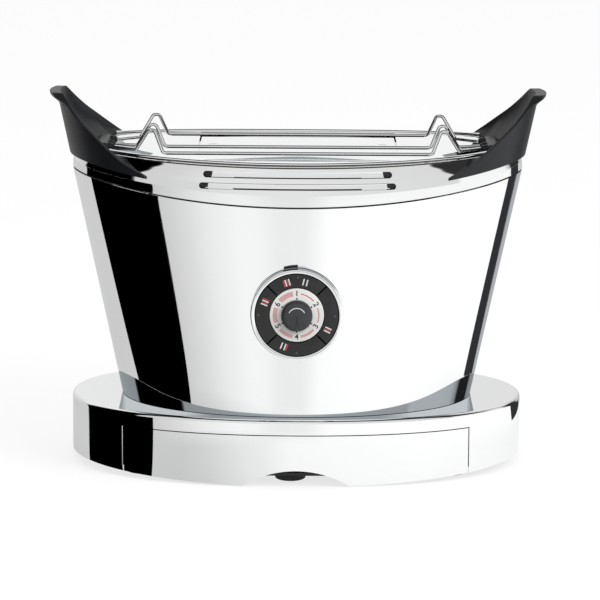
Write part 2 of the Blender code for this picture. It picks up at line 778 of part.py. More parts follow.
def make_handles():
    end = SEAM_HALF_LENGTH + HANDLE_CONE_SLOPE * HANDLE_SEAM_DROP
    limit = plan_turn(end, BODY_PLAN_POWER, HANDLE_POINT_X)
    for side, name in ((-1, "left_handle"), (1, "right_handle")):
        rings = []
        for step in range(HANDLE_STEPS + 1):
            section = handle_section(mix(-limit, limit, step / HANDLE_STEPS))
            rings.append([Vector((side * point.x, point.y, point.z)) for point in section])
        loft(name, rings, BLACK_PLASTIC)


def cradle_outline(inset, side):
    """The end of the oval inside the cover, closed by a straight front edge."""
    half_length = RIM_HALF_LENGTH - SHELL_WALL - GAP - inset
    half_depth = RIM_HALF_DEPTH - SHELL_WALL - GAP - inset
    limit = plan_turn(half_length, BODY_PLAN_POWER, CRADLE_FRONT)
    outline = []
    for step in range(CRADLE_STEPS + 1):
        turn = mix(-limit, limit, step / CRADLE_STEPS)
        x, y = plan_point(half_length, half_depth, BODY_PLAN_POWER, turn)
        outline.append((side * x, y))
    return outline


def make_cradles():
    for side, name in ((-1, "left_cradle"), (1, "right_cradle")):
        outline = cradle_outline(0, side)
        cradle = prism(name, outline, "Z", CRADLE_BOTTOM, CRADLE_TOP, BLACK_PLASTIC)
        pocket = cradle_outline(CRADLE_WALL, side)
        start = Vector((side * (CRADLE_FRONT - OVERRUN), pocket[0][1]))
        pocket = [(start.x, pocket[0][1])] + pocket + [(start.x, pocket[-1][1])]
        floor = CRADLE_BOTTOM + CRADLE_FLOOR
        cut(cradle, prism(name + "_cutter", pocket, "Z", floor, CRADLE_TOP + OVERRUN, STEEL))


def make_warming_rack():
    end_face = CRADLE_FRONT + GAP
    straight = end_face - RACK_END_STRAIGHT
    for name, row in RACK_ROW_SHARES:
        y, end_y = row * RACK_SPREAD, row * RACK_END_SPREAD
        bend_y = mix(y, end_y, (RACK_FOOT_X - RACK_HALF_LENGTH) / (straight - RACK_HALF_LENGTH))
        outer_y, inner_y = [mix(y, bend_y, share) for share in RACK_PEAK_SIDE_SHARES]
        half = [
            Vector((end_face - GAP, end_y, RACK_HEIGHT)),
            Vector((straight, end_y, RACK_HEIGHT)),
            Vector((RACK_FOOT_X, bend_y, RACK_HEIGHT)),
            Vector((RACK_PEAK_X + RACK_PEAK_WIDTH, outer_y, RACK_HEIGHT + RACK_PEAK_RISE)),
            Vector((RACK_PEAK_X - RACK_PEAK_WIDTH, inner_y, RACK_HEIGHT + RACK_PEAK_RISE)),
            Vector((RACK_HALF_LENGTH, y, RACK_HEIGHT)),
        ]
        mirrored = [Vector((-point.x, point.y, point.z)) for point in reversed(half)]
        path = rounded(half + mirrored, RACK_BEND_RADIUS)
        wire(name, path, RACK_WIRE_RADIUS, STEEL)
    bottom = CRADLE_BOTTOM + CRADLE_FLOOR + GAP
    for side, name in ((-1, "rack_end_left"), (1, "rack_end_right")):
        edges = sorted((side * end_face, side * (end_face + RACK_END_LENGTH)))
        low = (edges[0], -RACK_END_HALF_WIDTH, bottom)
        high = (edges[1], RACK_END_HALF_WIDTH, bottom + RACK_END_HEIGHT)
        round_edges(block(name, low, high, BLACK_PLASTIC), RACK_END_ROUNDING)


def windows(count, low, high, bar):
    """Equal openings with a bar between each two, as pairs of edges."""
    pitch = (high - low + bar) / count
    return [(low + i * pitch, low + (i + 1) * pitch - bar) for i in range(count)]


def make_slot_deck():
    share = (DECK_BOTTOM - BASE_HEIGHT) / (SEAM_END - BASE_HEIGHT)
    half_length = mix(BODY_FOOT_HALF_LENGTH, SEAM_HALF_LENGTH, share) - SHELL_WALL - 2 * GAP
    half_depth = SEAM_HALF_DEPTH - SHELL_WALL - 2 * GAP
    rings = [
        oval(half_length, half_depth, BODY_PLAN_POWER, height)
        for height in (DECK_BOTTOM, DECK_BOTTOM + DECK_THICKNESS)
    ]
    deck = loft("slot_deck", rings, STEEL, smooth=False)
    for side, name in ((-1, "slot_cutter_front"), (1, "slot_cutter_back")):
        middle = side * SLOT_Y
        low = (-SLOT_HALF_LENGTH, middle - SLOT_HALF_WIDTH, DECK_BOTTOM - OVERRUN)
        high = (SLOT_HALF_LENGTH, middle + SLOT_HALF_WIDTH, DECK_BOTTOM + OVERRUN)
        cut(deck, block(name, low, high, STEEL))


def make_chamber():
    bottom, top = BASE_HEIGHT + GAP, DECK_BOTTOM - GAP
    for side, name in ((-1, "chamber_front"), (1, "chamber_back")):
        edges = sorted((side * CHAMBER_HALF_DEPTH, side * (CHAMBER_HALF_DEPTH + CHAMBER_WALL)))
        low = (-CHAMBER_HALF_LENGTH, edges[0], bottom)
        high = (CHAMBER_HALF_LENGTH, edges[1], top)
        block(name, low, high, STEEL)
    start = CHAMBER_HALF_LENGTH + GAP
    for side, name in ((-1, "chamber_end_left"), (1, "chamber_end_right")):
        edges = sorted((side * start, side * (start + CHAMBER_WALL)))
        reach = CHAMBER_HALF_DEPTH + CHAMBER_WALL
        block(name, (edges[0], -reach, bottom), (edges[1], reach, top), STEEL)


def make_heating_elements():
    half = CARD_THICKNESS / 2
    beside = CHAMBER_HALF_DEPTH - CARD_INSET
    places = {"heating_card_front": -beside, "heating_card_middle": 0, "heating_card_back": beside}
    for name, y in places.items():
        low = (-CHAMBER_HALF_LENGTH, y - half, CARD_BOTTOM)
        high = (CHAMBER_HALF_LENGTH, y + half, CARD_TOP)
        block(name, low, high, MICA)


def make_bread_guards():
    start = SLOT_Y - SLOT_HALF_WIDTH - GUARD_THICKNESS - GUARD_CLEARANCE
    finish_y = SLOT_Y + SLOT_HALF_WIDTH + GUARD_CLEARANCE
    places = {
        "bread_guard_front_outer": -finish_y - GUARD_THICKNESS,
        "bread_guard_front_inner": -start - GUARD_THICKNESS,
        "bread_guard_back_inner": start,
        "bread_guard_back_outer": finish_y,
    }
    inner_low = -CHAMBER_HALF_LENGTH + 2 * GUARD_BAR
    for name, y in places.items():
        low = (-CHAMBER_HALF_LENGTH, y, GUARD_BOTTOM)
        guard = block(name, low, (CHAMBER_HALF_LENGTH, y + GUARD_THICKNESS, GUARD_TOP), STEEL)
        for i, (left, right) in enumerate(windows(GUARD_WINDOWS, inner_low, -inner_low, GUARD_BAR)):
            hole = block(
                f"{name}_cutter_{i}",
                (left, y - OVERRUN, GUARD_BOTTOM + GUARD_BAR),
                (right, y + GUARD_THICKNESS + OVERRUN, GUARD_TOP - GUARD_BAR),
                STEEL,
            )
            cut(guard, hole)


def make_bread_rests():
    top = REST_BOTTOM + REST_THICKNESS
    inner_low = -CHAMBER_HALF_LENGTH + 2 * GUARD_BAR
    for side, name in ((-1, "bread_rest_front"), (1, "bread_rest_back")):
        middle = side * SLOT_Y
        low = (-CHAMBER_HALF_LENGTH, middle - REST_HALF_WIDTH, REST_BOTTOM)
        rest = block(name, low, (CHAMBER_HALF_LENGTH, middle + REST_HALF_WIDTH, top), STEEL)
        for i, (left, right) in enumerate(windows(REST_WINDOWS, inner_low, -inner_low, GUARD_BAR)):
            hole = block(
                f"{name}_cutter_{i}",
                (left, middle - REST_HALF_WIDTH + GUARD_BAR, REST_BOTTOM - OVERRUN),
                (right, middle + REST_HALF_WIDTH - GUARD_BAR, top + OVERRUN),
                STEEL,
            )
            cut(rest, hole)


def make_bezel():
    inner = BEZEL_RADIUS - BEZEL_WALL
    profile = [
        (inner, BEZEL_FACE_Y + BEZEL_EDGE),
        (inner + BEZEL_EDGE, BEZEL_FACE_Y),
        (BEZEL_RADIUS - BEZEL_EDGE, BEZEL_FACE_Y),
        (BEZEL_RADIUS, BEZEL_FACE_Y + BEZEL_EDGE),
        (BEZEL_RADIUS, BEZEL_FLANGE_Y),
        (BEZEL_FLANGE_RADIUS, BEZEL_FLANGE_Y),
        (BEZEL_FLANGE_RADIUS, FLANGE_BACK_Y),
        (inner, FLANGE_BACK_Y),
    ]
    turned("dial_bezel", profile, (0, 0, DIAL_HEIGHT), CHROME, closed=True)


def make_carrier():
    profile = [
        (HUB_BORE, FACE_BACK_Y + GAP),
        (HUB_RADIUS, FACE_BACK_Y + GAP),
        (HUB_RADIUS, CARRIER_FRONT_Y),
        (CARRIER_RADIUS, CARRIER_FRONT_Y),
        (CARRIER_RADIUS, CARRIER_BACK_Y),
        (SHAFT_RADIUS + GAP, CARRIER_BACK_Y),
        (SHAFT_RADIUS + GAP, CARRIER_FRONT_Y),
        (HUB_BORE, CARRIER_FRONT_Y),
    ]
    turned("dial_carrier", profile, (0, 0, DIAL_HEIGHT), BLACK_PLASTIC, closed=True)


def make_control_board():
    profile = [
        (HUB_RADIUS + GAP, BOARD_FRONT_Y),
        (BOARD_RADIUS, BOARD_FRONT_Y),
        (BOARD_RADIUS, BOARD_BACK_Y),
        (HUB_RADIUS + GAP, BOARD_BACK_Y),
    ]
    board = turned("control_board", profile, (0, 0, DIAL_HEIGHT), BOARD_GREEN, closed=True)
    for i, name in enumerate(BUTTON_NAMES):
        x = SWITCH_RADIUS_PLACE * math.cos(QUARTER * i)
        z = DIAL_HEIGHT + SWITCH_RADIUS_PLACE * math.sin(QUARTER * i)
        low = (x - SWITCH_HALF_WIDTH, SWITCH_FRONT_Y, z - SWITCH_HALF_WIDTH)
        high = (x + SWITCH_HALF_WIDTH, BOARD_FRONT_Y + BOARD_THICKNESS / 2, z + SWITCH_HALF_WIDTH)
        combine(board, block("switch_" + name, low, high, BLACK_PLASTIC), "UNION")


def make_buttons():
    for i, name in enumerate(BUTTON_NAMES):
        middle = QUARTER * i
        outline = []
        for radius, way in ((BUTTON_OUTER_RADIUS, 1), (BUTTON_INNER_RADIUS, -1)):
            half = QUARTER / 2 - math.asin(BUTTON_SPLIT / 2 / radius)
            for step in range(BUTTON_STEPS + 1):
                turn = middle + way * mix(-half, half, step / BUTTON_STEPS)
                outline.append((radius * math.cos(turn), DIAL_HEIGHT + radius * math.sin(turn)))
        button = prism("button_" + name, outline, "Y", BUTTON_FACE_Y, BUTTON_BACK_Y, GLOSS_BLACK)
        set_origin(button, (0, BUTTON_FACE_Y, DIAL_HEIGHT))


def make_dial_face():
    radius = FACE_RADIUS - GAP
    profile = [
        (FACE_HOLE, FACE_FRONT_Y),
        (radius, FACE_FRONT_Y),
        (radius, FACE_BACK_Y),
        (FACE_HOLE, FACE_BACK_Y),
    ]
    turned("dial_face", profile, (0, 0, DIAL_HEIGHT), CREAM, closed=True)


def make_knob():
    crown_back = KNOB_BACK_Y - KNOB_RIM_DEPTH
    profile = [(KNOB_RADIUS, KNOB_BACK_Y)]
    for radius_share, rise_share in KNOB_CROWN_SHARES:
        profile.append((KNOB_RADIUS * radius_share, mix(crown_back, KNOB_FRONT_Y, rise_share)))
    knob = turned("knob", profile, (0, 0, DIAL_HEIGHT), DARK_GREY)
    bore = turned(
        "knob_bore_cutter",
        [(SHAFT_RADIUS + GAP, KNOB_BACK_Y - KNOB_BORE_DEPTH), (SHAFT_RADIUS + GAP, KNOB_BACK_Y + OVERRUN)],
        (0, 0, DIAL_HEIGHT),
        STEEL,
        steps=SMALL_STEPS,
    )
    cut(knob, bore)
    groove = block(
        "pointer_cutter",
        (-POINTER_WIDTH / 2, KNOB_FRONT_Y - OVERRUN, DIAL_HEIGHT - KNOB_RADIUS - OVERRUN),
        (POINTER_WIDTH / 2, KNOB_FRONT_Y + POINTER_DEPTH, DIAL_HEIGHT),
        STEEL,
    )
    cut(knob, groove)
    set_origin(knob, (0, KNOB_BACK_Y, DIAL_HEIGHT))
    for helper in (bore, groove):
        helper.parent = knob
        helper.matrix_parent_inverse = Matrix.Translation(-knob.location)
    timer_front = CARRIER_BACK_Y + GAP
    shaft = turned(
        "knob_shaft",
        [(SHAFT_RADIUS, timer_front - GAP / 2), (SHAFT_RADIUS, KNOB_BACK_Y - KNOB_BORE_DEPTH + GAP)],
        (0, 0, DIAL_HEIGHT),
        STEEL,
        steps=SMALL_STEPS,
    )
    set_origin(shaft, (0, KNOB_BACK_Y, DIAL_HEIGHT))
    low = (-TIMER_HALF_WIDTH, timer_front, DIAL_HEIGHT - TIMER_HALF_WIDTH)
    high = (TIMER_HALF_WIDTH, timer_front + TIMER_DEPTH, DIAL_HEIGHT + TIMER_HALF_WIDTH)
    block("timer_potentiometer", low, high, STEEL)


def make_power_parts():
    bottom = BASE_HEIGHT + GAP
    foot_end = BRACKET_Y + BRACKET_FOOT_DEPTH
    back = BRACKET_Y + BRACKET_THICKNESS
    outline = [
        (BRACKET_Y, bottom),
        (foot_end, bottom),
        (foot_end, bottom + BRACKET_THICKNESS),
        (back, bottom + BRACKET_THICKNESS),
        (back, BRACKET_TOP),
        (BRACKET_Y, BRACKET_TOP),
    ]
    prism("board_bracket", outline, "X", -BRACKET_HALF_LENGTH, BRACKET_HALF_LENGTH, STEEL)
    board_y = back + GAP
    board_back = board_y + POWER_BOARD_THICKNESS
    low = (-POWER_BOARD_HALF_LENGTH, board_y, POWER_BOARD_BOTTOM)
    high = (POWER_BOARD_HALF_LENGTH, board_back, POWER_BOARD_TOP)
    block("power_board", low, high, BOARD_GREEN)
    low = (-RELAY_HALF_LENGTH, board_back + GAP, RELAY_BOTTOM)
    high = (RELAY_HALF_LENGTH, board_back + GAP + RELAY_DEPTH, RELAY_TOP)
    block("power_relay", low, high, GLOSS_BLACK)
    start = CHAMBER_HALF_LENGTH + CHAMBER_WALL + 2 * GAP
    outline = [(first, CUTOUT_HEIGHT + second) for first, second in circle(CUTOUT_RADIUS, SMALL_STEPS)]
    prism("thermal_cutout", outline, "X", start, start + CUTOUT_THICKNESS, STEEL)


def make_cord_gland():
    wall = BASE_HALF_DEPTH + GAP
    flange = wall + GLAND_FLANGE_THICKNESS
    inside = BASE_HALF_DEPTH - BASE_WALL - GLAND_TAIL
    profile = [
        (GLAND_BORE, inside),
        (GLAND_RADIUS, inside),
        (GLAND_RADIUS, wall),
        (GLAND_FLANGE_RADIUS, wall),
        (GLAND_FLANGE_RADIUS, flange),
        (GLAND_RADIUS, BASE_HALF_DEPTH + GLAND_LENGTH),
        (GLAND_BORE, BASE_HALF_DEPTH + GLAND_LENGTH),
    ]
    turned("cord_gland", profile, (0, 0, GLAND_HEIGHT), BLACK_PLASTIC, steps=SMALL_STEPS, closed=True)


def make_toaster():
    clear_scene()
    make_base_shell()
    make_base_plate()
    make_feet()
    make_drawer_front()
    make_drawer_frame()
    make_crumb_tray()
    make_drawer_runners()
    make_body_shell()
    make_seam_gasket()
    make_top_cover()
    make_rim_bands()
    make_vent_inserts()
    make_handles()
    make_cradles()
    make_warming_rack()
    make_slot_deck()
    make_chamber()
    make_heating_elements()
    make_bread_guards()
    make_bread_rests()
    make_bezel()
    make_carrier()
    make_control_board()
    make_buttons()
    make_dial_face()
    make_knob()
    make_power_parts()
    make_cord_gland()


make_toaster()
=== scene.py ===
# %% [markdown]
# # A chrome toaster with wing handles
#
# This lesson dresses the working model of a wide two-slot toaster. Mirror chrome shows every facet,
# so each chrome panel is made again here as a fine, smooth skin of the same size, and then the
# printing, the louvres and the finishes follow.

import json
import math

import bmesh
import bpy
from mathutils import Matrix, Quaternion, Vector


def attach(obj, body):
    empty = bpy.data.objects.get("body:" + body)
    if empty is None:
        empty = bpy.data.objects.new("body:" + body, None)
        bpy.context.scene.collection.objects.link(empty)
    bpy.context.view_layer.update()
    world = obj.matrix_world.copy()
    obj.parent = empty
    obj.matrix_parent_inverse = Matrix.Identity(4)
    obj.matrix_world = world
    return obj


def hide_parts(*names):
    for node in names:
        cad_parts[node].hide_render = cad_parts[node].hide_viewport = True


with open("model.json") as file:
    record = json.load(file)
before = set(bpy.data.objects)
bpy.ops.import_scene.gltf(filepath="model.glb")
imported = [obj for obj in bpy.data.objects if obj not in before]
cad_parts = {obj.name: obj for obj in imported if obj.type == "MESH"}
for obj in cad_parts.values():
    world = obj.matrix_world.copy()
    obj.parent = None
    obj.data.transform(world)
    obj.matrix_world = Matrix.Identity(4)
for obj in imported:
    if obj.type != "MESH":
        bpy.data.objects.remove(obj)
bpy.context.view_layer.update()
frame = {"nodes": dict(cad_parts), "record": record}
nodes = frame["nodes"]

# %% [markdown]
# ## Driving sizes
#
# The toaster is an oval bucket on an oval base. A few ovals drive nearly everything: the base, the
# foot of the body, the seam and the rim of the opening. All sizes are metres.

# %% Sizes shared by the panels
TURN = 2 * math.pi
QUARTER = math.pi / 2
GAP = 0.0003
FINE_STEPS = 288
ROUND_STEPS = 96

BASE_HALF_LENGTH, BASE_HALF_DEPTH, BASE_PLAN_POWER = 0.165, 0.1055, 2.2
BASE_HEIGHT, BASE_WALL, BASE_EDGE_RADIUS = 0.049, 0.002, 0.0028
SKIRT_CLEARANCE, SKIRT_RISE = 0.0005, 0.0072

BODY_PLAN_POWER = 2.1
BODY_FOOT_HALF_LENGTH, BODY_FOOT_HALF_DEPTH = 0.1283, 0.095
SEAM_HALF_LENGTH, SEAM_HALF_DEPTH = 0.164, 0.098
SEAM_LOW, SEAM_RISE, SEAM_GROOVE = 0.2005, 0.0165, 0.0012
RIM_HALF_LENGTH, RIM_HALF_DEPTH = 0.157, 0.09
RIM_LOW, RIM_RISE = 0.2282, 0.0047
SHELL_WALL = 0.0012
DIAL_HEIGHT = 0.125
print("body", BODY_FOOT_HALF_LENGTH, "to", SEAM_HALF_LENGTH, "half length over", SEAM_LOW - BASE_HEIGHT)

# %% Ovals and heights
def mix(low, high, share):
    return low + (high - low) * share


def signed_power(value, power):
    return math.copysign(abs(value) ** power, value)


def plan_point(half_length, half_depth, power, turn):
    """A point of an oval whose sides follow a power curve."""
    x = half_length * signed_power(math.cos(turn), 2 / power)
    return x, half_depth * signed_power(math.sin(turn), 2 / power)


def plan_depth(half_length, half_depth, power, x):
    return half_depth * (1 - (abs(x) / half_length) ** power) ** (1 / power)


def plan_turn(half_length, power, x):
    return math.acos(math.copysign((abs(x) / half_length) ** (power / 2), x))


def skirt_height(x):
    return SKIRT_CLEARANCE + SKIRT_RISE * (x / BASE_HALF_LENGTH) ** 2


def seam_height(x):
    return SEAM_LOW + SEAM_RISE * (x / SEAM_HALF_LENGTH) ** 2


def rim_height(x):
    return RIM_LOW + RIM_RISE * (x / RIM_HALF_LENGTH) ** 2


print("seam rises from", seam_height(0), "to", round(seam_height(SEAM_HALF_LENGTH), 4))

# %% [markdown]
# ## Nodes in a few words
#
# Materials and Geometry Nodes are both graphs. One helper adds a node, sets its plain values and
# links the sockets that come from other nodes, so each graph below reads almost like a formula.

# %% Helpers for node graphs
def add(tree, kind, inputs=None, **settings):
    made = tree.nodes.new(kind)
    for name, value in settings.items():
        setattr(made, name, value)
    for key, value in (inputs or {}).items():
        if isinstance(value, bpy.types.NodeSocket):
            tree.links.new(value, made.inputs[key])
        else:
            made.inputs[key].default_value = value
    return made


def ramp(tree, factor, stops):
    """A colour ramp from pairs of place and grey value or colour."""
    made = add(tree, "ShaderNodeValToRGB", {"Fac": factor})
    elements = made.color_ramp.elements
    while len(elements) < len(stops):
        elements.new(0.5)
    for element, (place, colour) in zip(elements, stops):
        element.position = place
        element.color = (*colour, 1) if isinstance(colour, tuple) else (colour, colour, colour, 1)
    return made.outputs["Color"]


def start_finish(name, roughness, metallic=0.0, **sockets):
    """A new material, its tree, its shader and the object coordinates that its patterns read."""
    material = bpy.data.materials.new(name)
    material.use_nodes = True
    tree = material.node_tree
    shader = tree.nodes["Principled BSDF"]
    shader.inputs["Roughness"].default_value = roughness
    shader.inputs["Metallic"].default_value = metallic
    for key, value in sockets.items():
        shader.inputs[key.replace("_", " ")].default_value = value
    place = add(tree, "ShaderNodeTexCoord").outputs["Object"]
    return material, tree, shader, place


def cloud(tree, place, scale, detail=3.0, stretch=(1, 1, 1)):
    """Soft noise over the object, drawn out along an axis where stretch is small."""
    mapped = add(tree, "ShaderNodeMapping", {"Vector": place, "Scale": stretch})
    sizes = {"Vector": mapped.outputs["Vector"], "Scale": scale, "Detail": detail}
    return add(tree, "ShaderNodeTexNoise", sizes).outputs["Fac"]


def raise_surface(tree, shader, height, strength, distance):
    bump = add(tree, "ShaderNodeBump", {"Height": height, "Strength": strength, "Distance": distance})
    tree.links.new(bump.outputs["Normal"], shader.inputs["Normal"])


print("node helpers ready")

# %% [markdown]
# ## Finishes
#
# Chrome is nearly a mirror: its look comes from what it reflects, so its own pattern is only a
# whisper of wiped smears in the roughness. Satin plastic is the opposite: a fine moulded grain breaks
# up its gloss. Every finish reads Object coordinates, so the pattern keeps its real scale.

# %% Chrome and steel
SMEAR_SCALE, SMEAR_STRETCH, TINT_SCALE, TINT_SHARE = 14.0, (1, 1, 0.35), 6.0, 0.985
BRUSH_SCALE, BRUSH_DARK_SHARE, BRUSH_STRENGTH, BRUSH_HEIGHT = 260.0, 0.82, 0.15, 0.0002


def shaded(colour, share):
    return tuple(share * part for part in colour)


def vary(tree, shader, socket, factor, stops):
    """Lets a pattern drive a socket of the shader."""
    tree.links.new(ramp(tree, factor, stops), shader.inputs[socket])


def chrome_finish(name, colour, roughness):
    material, tree, shader, place = start_finish(name, roughness, metallic=1.0)
    smear = cloud(tree, place, SMEAR_SCALE, stretch=SMEAR_STRETCH)
    vary(tree, shader, "Roughness", smear, ((0.3, roughness * 0.7), (0.75, roughness * 1.5)))
    tint = cloud(tree, place, TINT_SCALE)
    vary(tree, shader, "Base Color", tint, ((0.2, shaded(colour, TINT_SHARE)), (0.8, colour)))
    return material


def brushed_finish(name, colour, roughness, stretch):
    material, tree, shader, place = start_finish(name, roughness, metallic=1.0)
    grain = cloud(tree, place, BRUSH_SCALE, detail=2.0, stretch=stretch)
    vary(tree, shader, "Base Color", grain, ((0.3, shaded(colour, BRUSH_DARK_SHARE)), (0.7, colour)))
    vary(tree, shader, "Roughness", grain, ((0.2, roughness * 0.8), (0.8, roughness * 1.3)))
    raise_surface(tree, shader, grain, BRUSH_STRENGTH, BRUSH_HEIGHT)
    return material


polished_chrome = chrome_finish("polished_chrome", (0.955, 0.96, 0.965), 0.03)
wire_chrome = chrome_finish("wire_chrome", (0.8, 0.805, 0.81), 0.07)
sheet_steel = brushed_finish("sheet_steel", (0.62, 0.62, 0.62), 0.3, (0.04, 1, 1))
bright_steel = chrome_finish("bright_steel", (0.95, 0.955, 0.96), 0.05)
# Near-black chrome for thin bars that paint shadow lines under the rim beads and along the vent slots.
dark_chrome = chrome_finish("dark_chrome", (0.07, 0.068, 0.062), 0.1)
print("metals:", polished_chrome.name, wire_chrome.name, sheet_steel.name)

# %% Plastics and rubber
SATIN_SPECULAR = 0.36
SHADE_SCALE, SHADE_LOW_SHARE, SHADE_HIGH_SHARE, GRAIN_STRENGTH = 22.0, 0.85, 1.1, 0.3


def moulded_finish(name, colour, roughness, grain_scale=900.0, grain_height=0.00004):
    material, tree, shader, place = start_finish(name, roughness)
    grain = cloud(tree, place, grain_scale, detail=2.0)
    shade = cloud(tree, place, SHADE_SCALE)
    low, high = shaded(colour, SHADE_LOW_SHARE), shaded(colour, SHADE_HIGH_SHARE)
    vary(tree, shader, "Base Color", shade, ((0.3, low), (0.7, high)))
    vary(tree, shader, "Roughness", grain, ((0.3, roughness * 0.88), (0.7, roughness * 1.12)))
    raise_surface(tree, shader, grain, GRAIN_STRENGTH, grain_height)
    return material


satin_black = moulded_finish("satin_black", (0.009, 0.01, 0.012), 0.4)
satin_black.node_tree.nodes["Principled BSDF"].inputs["Specular IOR Level"].default_value = SATIN_SPECULAR
knob_grey = moulded_finish("knob_grey", (0.03, 0.032, 0.035), 0.3)
button_black = moulded_finish("button_black", (0.006, 0.0065, 0.007), 0.22)
louvre_grey = moulded_finish("louvre_grey", (0.03, 0.03, 0.033), 0.45)
foot_rubber = moulded_finish("foot_rubber", (0.016, 0.016, 0.017), 0.7, grain_scale=500.0)
dial_white = moulded_finish("dial_white", (0.9, 0.9, 0.89), 0.4)
board_green = moulded_finish("board_green", (0.03, 0.15, 0.07), 0.5)
mica_board = moulded_finish("mica_board", (0.5, 0.42, 0.32), 0.6, grain_scale=180.0)
print("plastics:", satin_black.name, knob_grey.name, button_black.name)

# %% Printing inks
SPECK_SCALE, SPECK_SHARE = 1800.0, 0.9


def ink_finish(name, colour, roughness=0.45):
    material, tree, shader, place = start_finish(name, roughness)
    speck = cloud(tree, place, SPECK_SCALE, detail=1.0)
    vary(tree, shader, "Base Color", speck, ((0.35, shaded(colour, SPECK_SHARE)), (0.65, colour)))
    return material


black_ink = ink_finish("black_ink", (0.02, 0.02, 0.022))
white_ink = ink_finish("white_ink", (0.85, 0.86, 0.86))
red_ink = ink_finish("red_ink", (0.55, 0.05, 0.06))
rose_ink = ink_finish("rose_ink", (0.72, 0.42, 0.42))
heater_wire = ink_finish("heater_wire", (0.35, 0.33, 0.3), 0.35)
lamp_lens = ink_finish("lamp_lens", (0.1, 0.1, 0.11), 0.15)
print("inks:", black_ink.name, white_ink.name, red_ink.name, rose_ink.name)

# %% [markdown]
# ## Making panels
#
# A pressed panel is a loft: a ring of points at each level, joined by faces. A shell goes up the
# outside and back down the inside, so that it is closed and has a real wall. Holes are cut with a
# Boolean, and edges over 30 degrees stay sharp, so the mirror stays smooth up to each hole.

# %% Mesh makers
SHARP_ANGLE = math.radians(30)
made_pieces = []


def finish_piece(thing, material, body, stands_for=()):
    """Gives a piece its finish, links it and says which body carries it."""
    if material is not None:
        thing.data.materials.clear()
        thing.data.materials.append(material)
    if thing.name not in bpy.context.scene.collection.objects:
        bpy.context.scene.collection.objects.link(thing)
    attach(thing, body)
    if stands_for:
        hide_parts(*stands_for)
    made_pieces.append(thing.name)
    return thing


def mesh_thing(name, shape, recalculate=True):
    if recalculate:
        bmesh.ops.recalc_face_normals(shape, faces=shape.faces)
    mesh = bpy.data.meshes.new(name)
    shape.to_mesh(mesh)
    shape.free()
    mesh.shade_smooth()
    mesh.set_sharp_from_angle(angle=SHARP_ANGLE)
    return bpy.data.objects.new(name, mesh)


def loft(name, rings, closed=False):
    """Skins rings of equal point count; the end rings are capped or, when closed, joined."""
    shape = bmesh.new()
    loops = [[shape.verts.new(point) for point in ring] for ring in rings]
    pairs = list(zip(loops, loops[1:])) + ([(loops[-1], loops[0])] if closed else [])
    for first, second in pairs:
        for i in range(len(first)):
            j = (i + 1) % len(first)
            shape.faces.new((first[i], first[j], second[j], second[i]))
    if not closed:
        shape.faces.new(list(reversed(loops[0])))
        shape.faces.new(loops[-1])
    return mesh_thing(name, shape)


def outward(thing):
    """Turns every face of a thing outward."""
    shape = bmesh.new()
    shape.from_mesh(thing.data)
    bmesh.ops.recalc_face_normals(shape, faces=shape.faces)
    shape.to_mesh(thing.data)
    shape.free()
    return thing


def block(name, low, high):
    corners = ((low[0], low[1]), (high[0], low[1]), (high[0], high[1]), (low[0], high[1]))
    return loft(name, [[Vector((x, y, z)) for x, y in corners] for z in (low[2], high[2])])


def turned(name, profile, centre, axis="Y", steps=ROUND_STEPS, closed=False):
    """Turns a profile of (radius, place along the axis) round an axis through the centre."""
    rings = []
    for radius, along in profile:
        ring = []
        for step in range(steps):
            first, second = radius * math.cos(TURN * step / steps), radius * math.sin(TURN * step / steps)
            point = (first, along, second) if axis == "Y" else (first, second, along)
            ring.append(Vector(centre) + Vector(point))
        rings.append(ring)
    return loft(name, rings, closed)


def cut(thing, *cutters):
    """Cuts other closed shapes out of a thing for good, and throws the cutters away."""
    bpy.context.scene.collection.objects.link(thing)
    for cutter in cutters:
        bpy.context.scene.collection.objects.link(cutter)
        modifier = thing.modifiers.new("cut", "BOOLEAN")
        modifier.object = cutter
        modifier.operation = "DIFFERENCE"
    graph = bpy.context.evaluated_depsgraph_get()
    mesh = bpy.data.meshes.new_from_object(thing.evaluated_get(graph))
    result = bpy.data.objects.new(thing.name + "_cut", mesh)
    name = thing.name
    for old in (thing, *cutters):
        bpy.data.objects.remove(old, do_unlink=True)
    result.name = name
    mesh.materials.clear()
    mesh.shade_smooth()
    mesh.set_sharp_from_angle(angle=SHARP_ANGLE)
    return result


def oval_ring(half_length, half_depth, power, height, steps=FINE_STEPS):
    ring = []
    for step in range(steps):
        x, y = plan_point(half_length, half_depth, power, TURN * step / steps)
        ring.append(Vector((x, y, height(x) if callable(height) else height)))
    return ring


print("mesh makers ready")

# %% [markdown]
# ## The base hood
#
# The base is one chrome pressing: an upright oval wall with a small rounded edge at the top. Its
# doorway holds the crumb drawer. The wall's lower edge rises a little towards the ends.

# %% Base hood
EDGE_STEPS = 10
WALL_LEVEL_SHARES = (0.0, 0.25, 0.5, 0.75)
OVERRUN = 0.006
DRAWER_HALF_LENGTH, DRAWER_GAP, DRAWER_TOP = 0.1241, 0.0007, 0.0375
CRUMB_OPENING_HALF_LENGTH, CRUMB_OPENING_HALF_DEPTH = 0.095, 0.046
GLAND_HEIGHT, GLAND_RADIUS = 0.026, 0.006


def base_oval(inset, height):
    return oval_ring(BASE_HALF_LENGTH - inset, BASE_HALF_DEPTH - inset, BASE_PLAN_POWER, height)


def base_depth(inset, x):
    return plan_depth(BASE_HALF_LENGTH - inset, BASE_HALF_DEPTH - inset, BASE_PLAN_POWER, x)


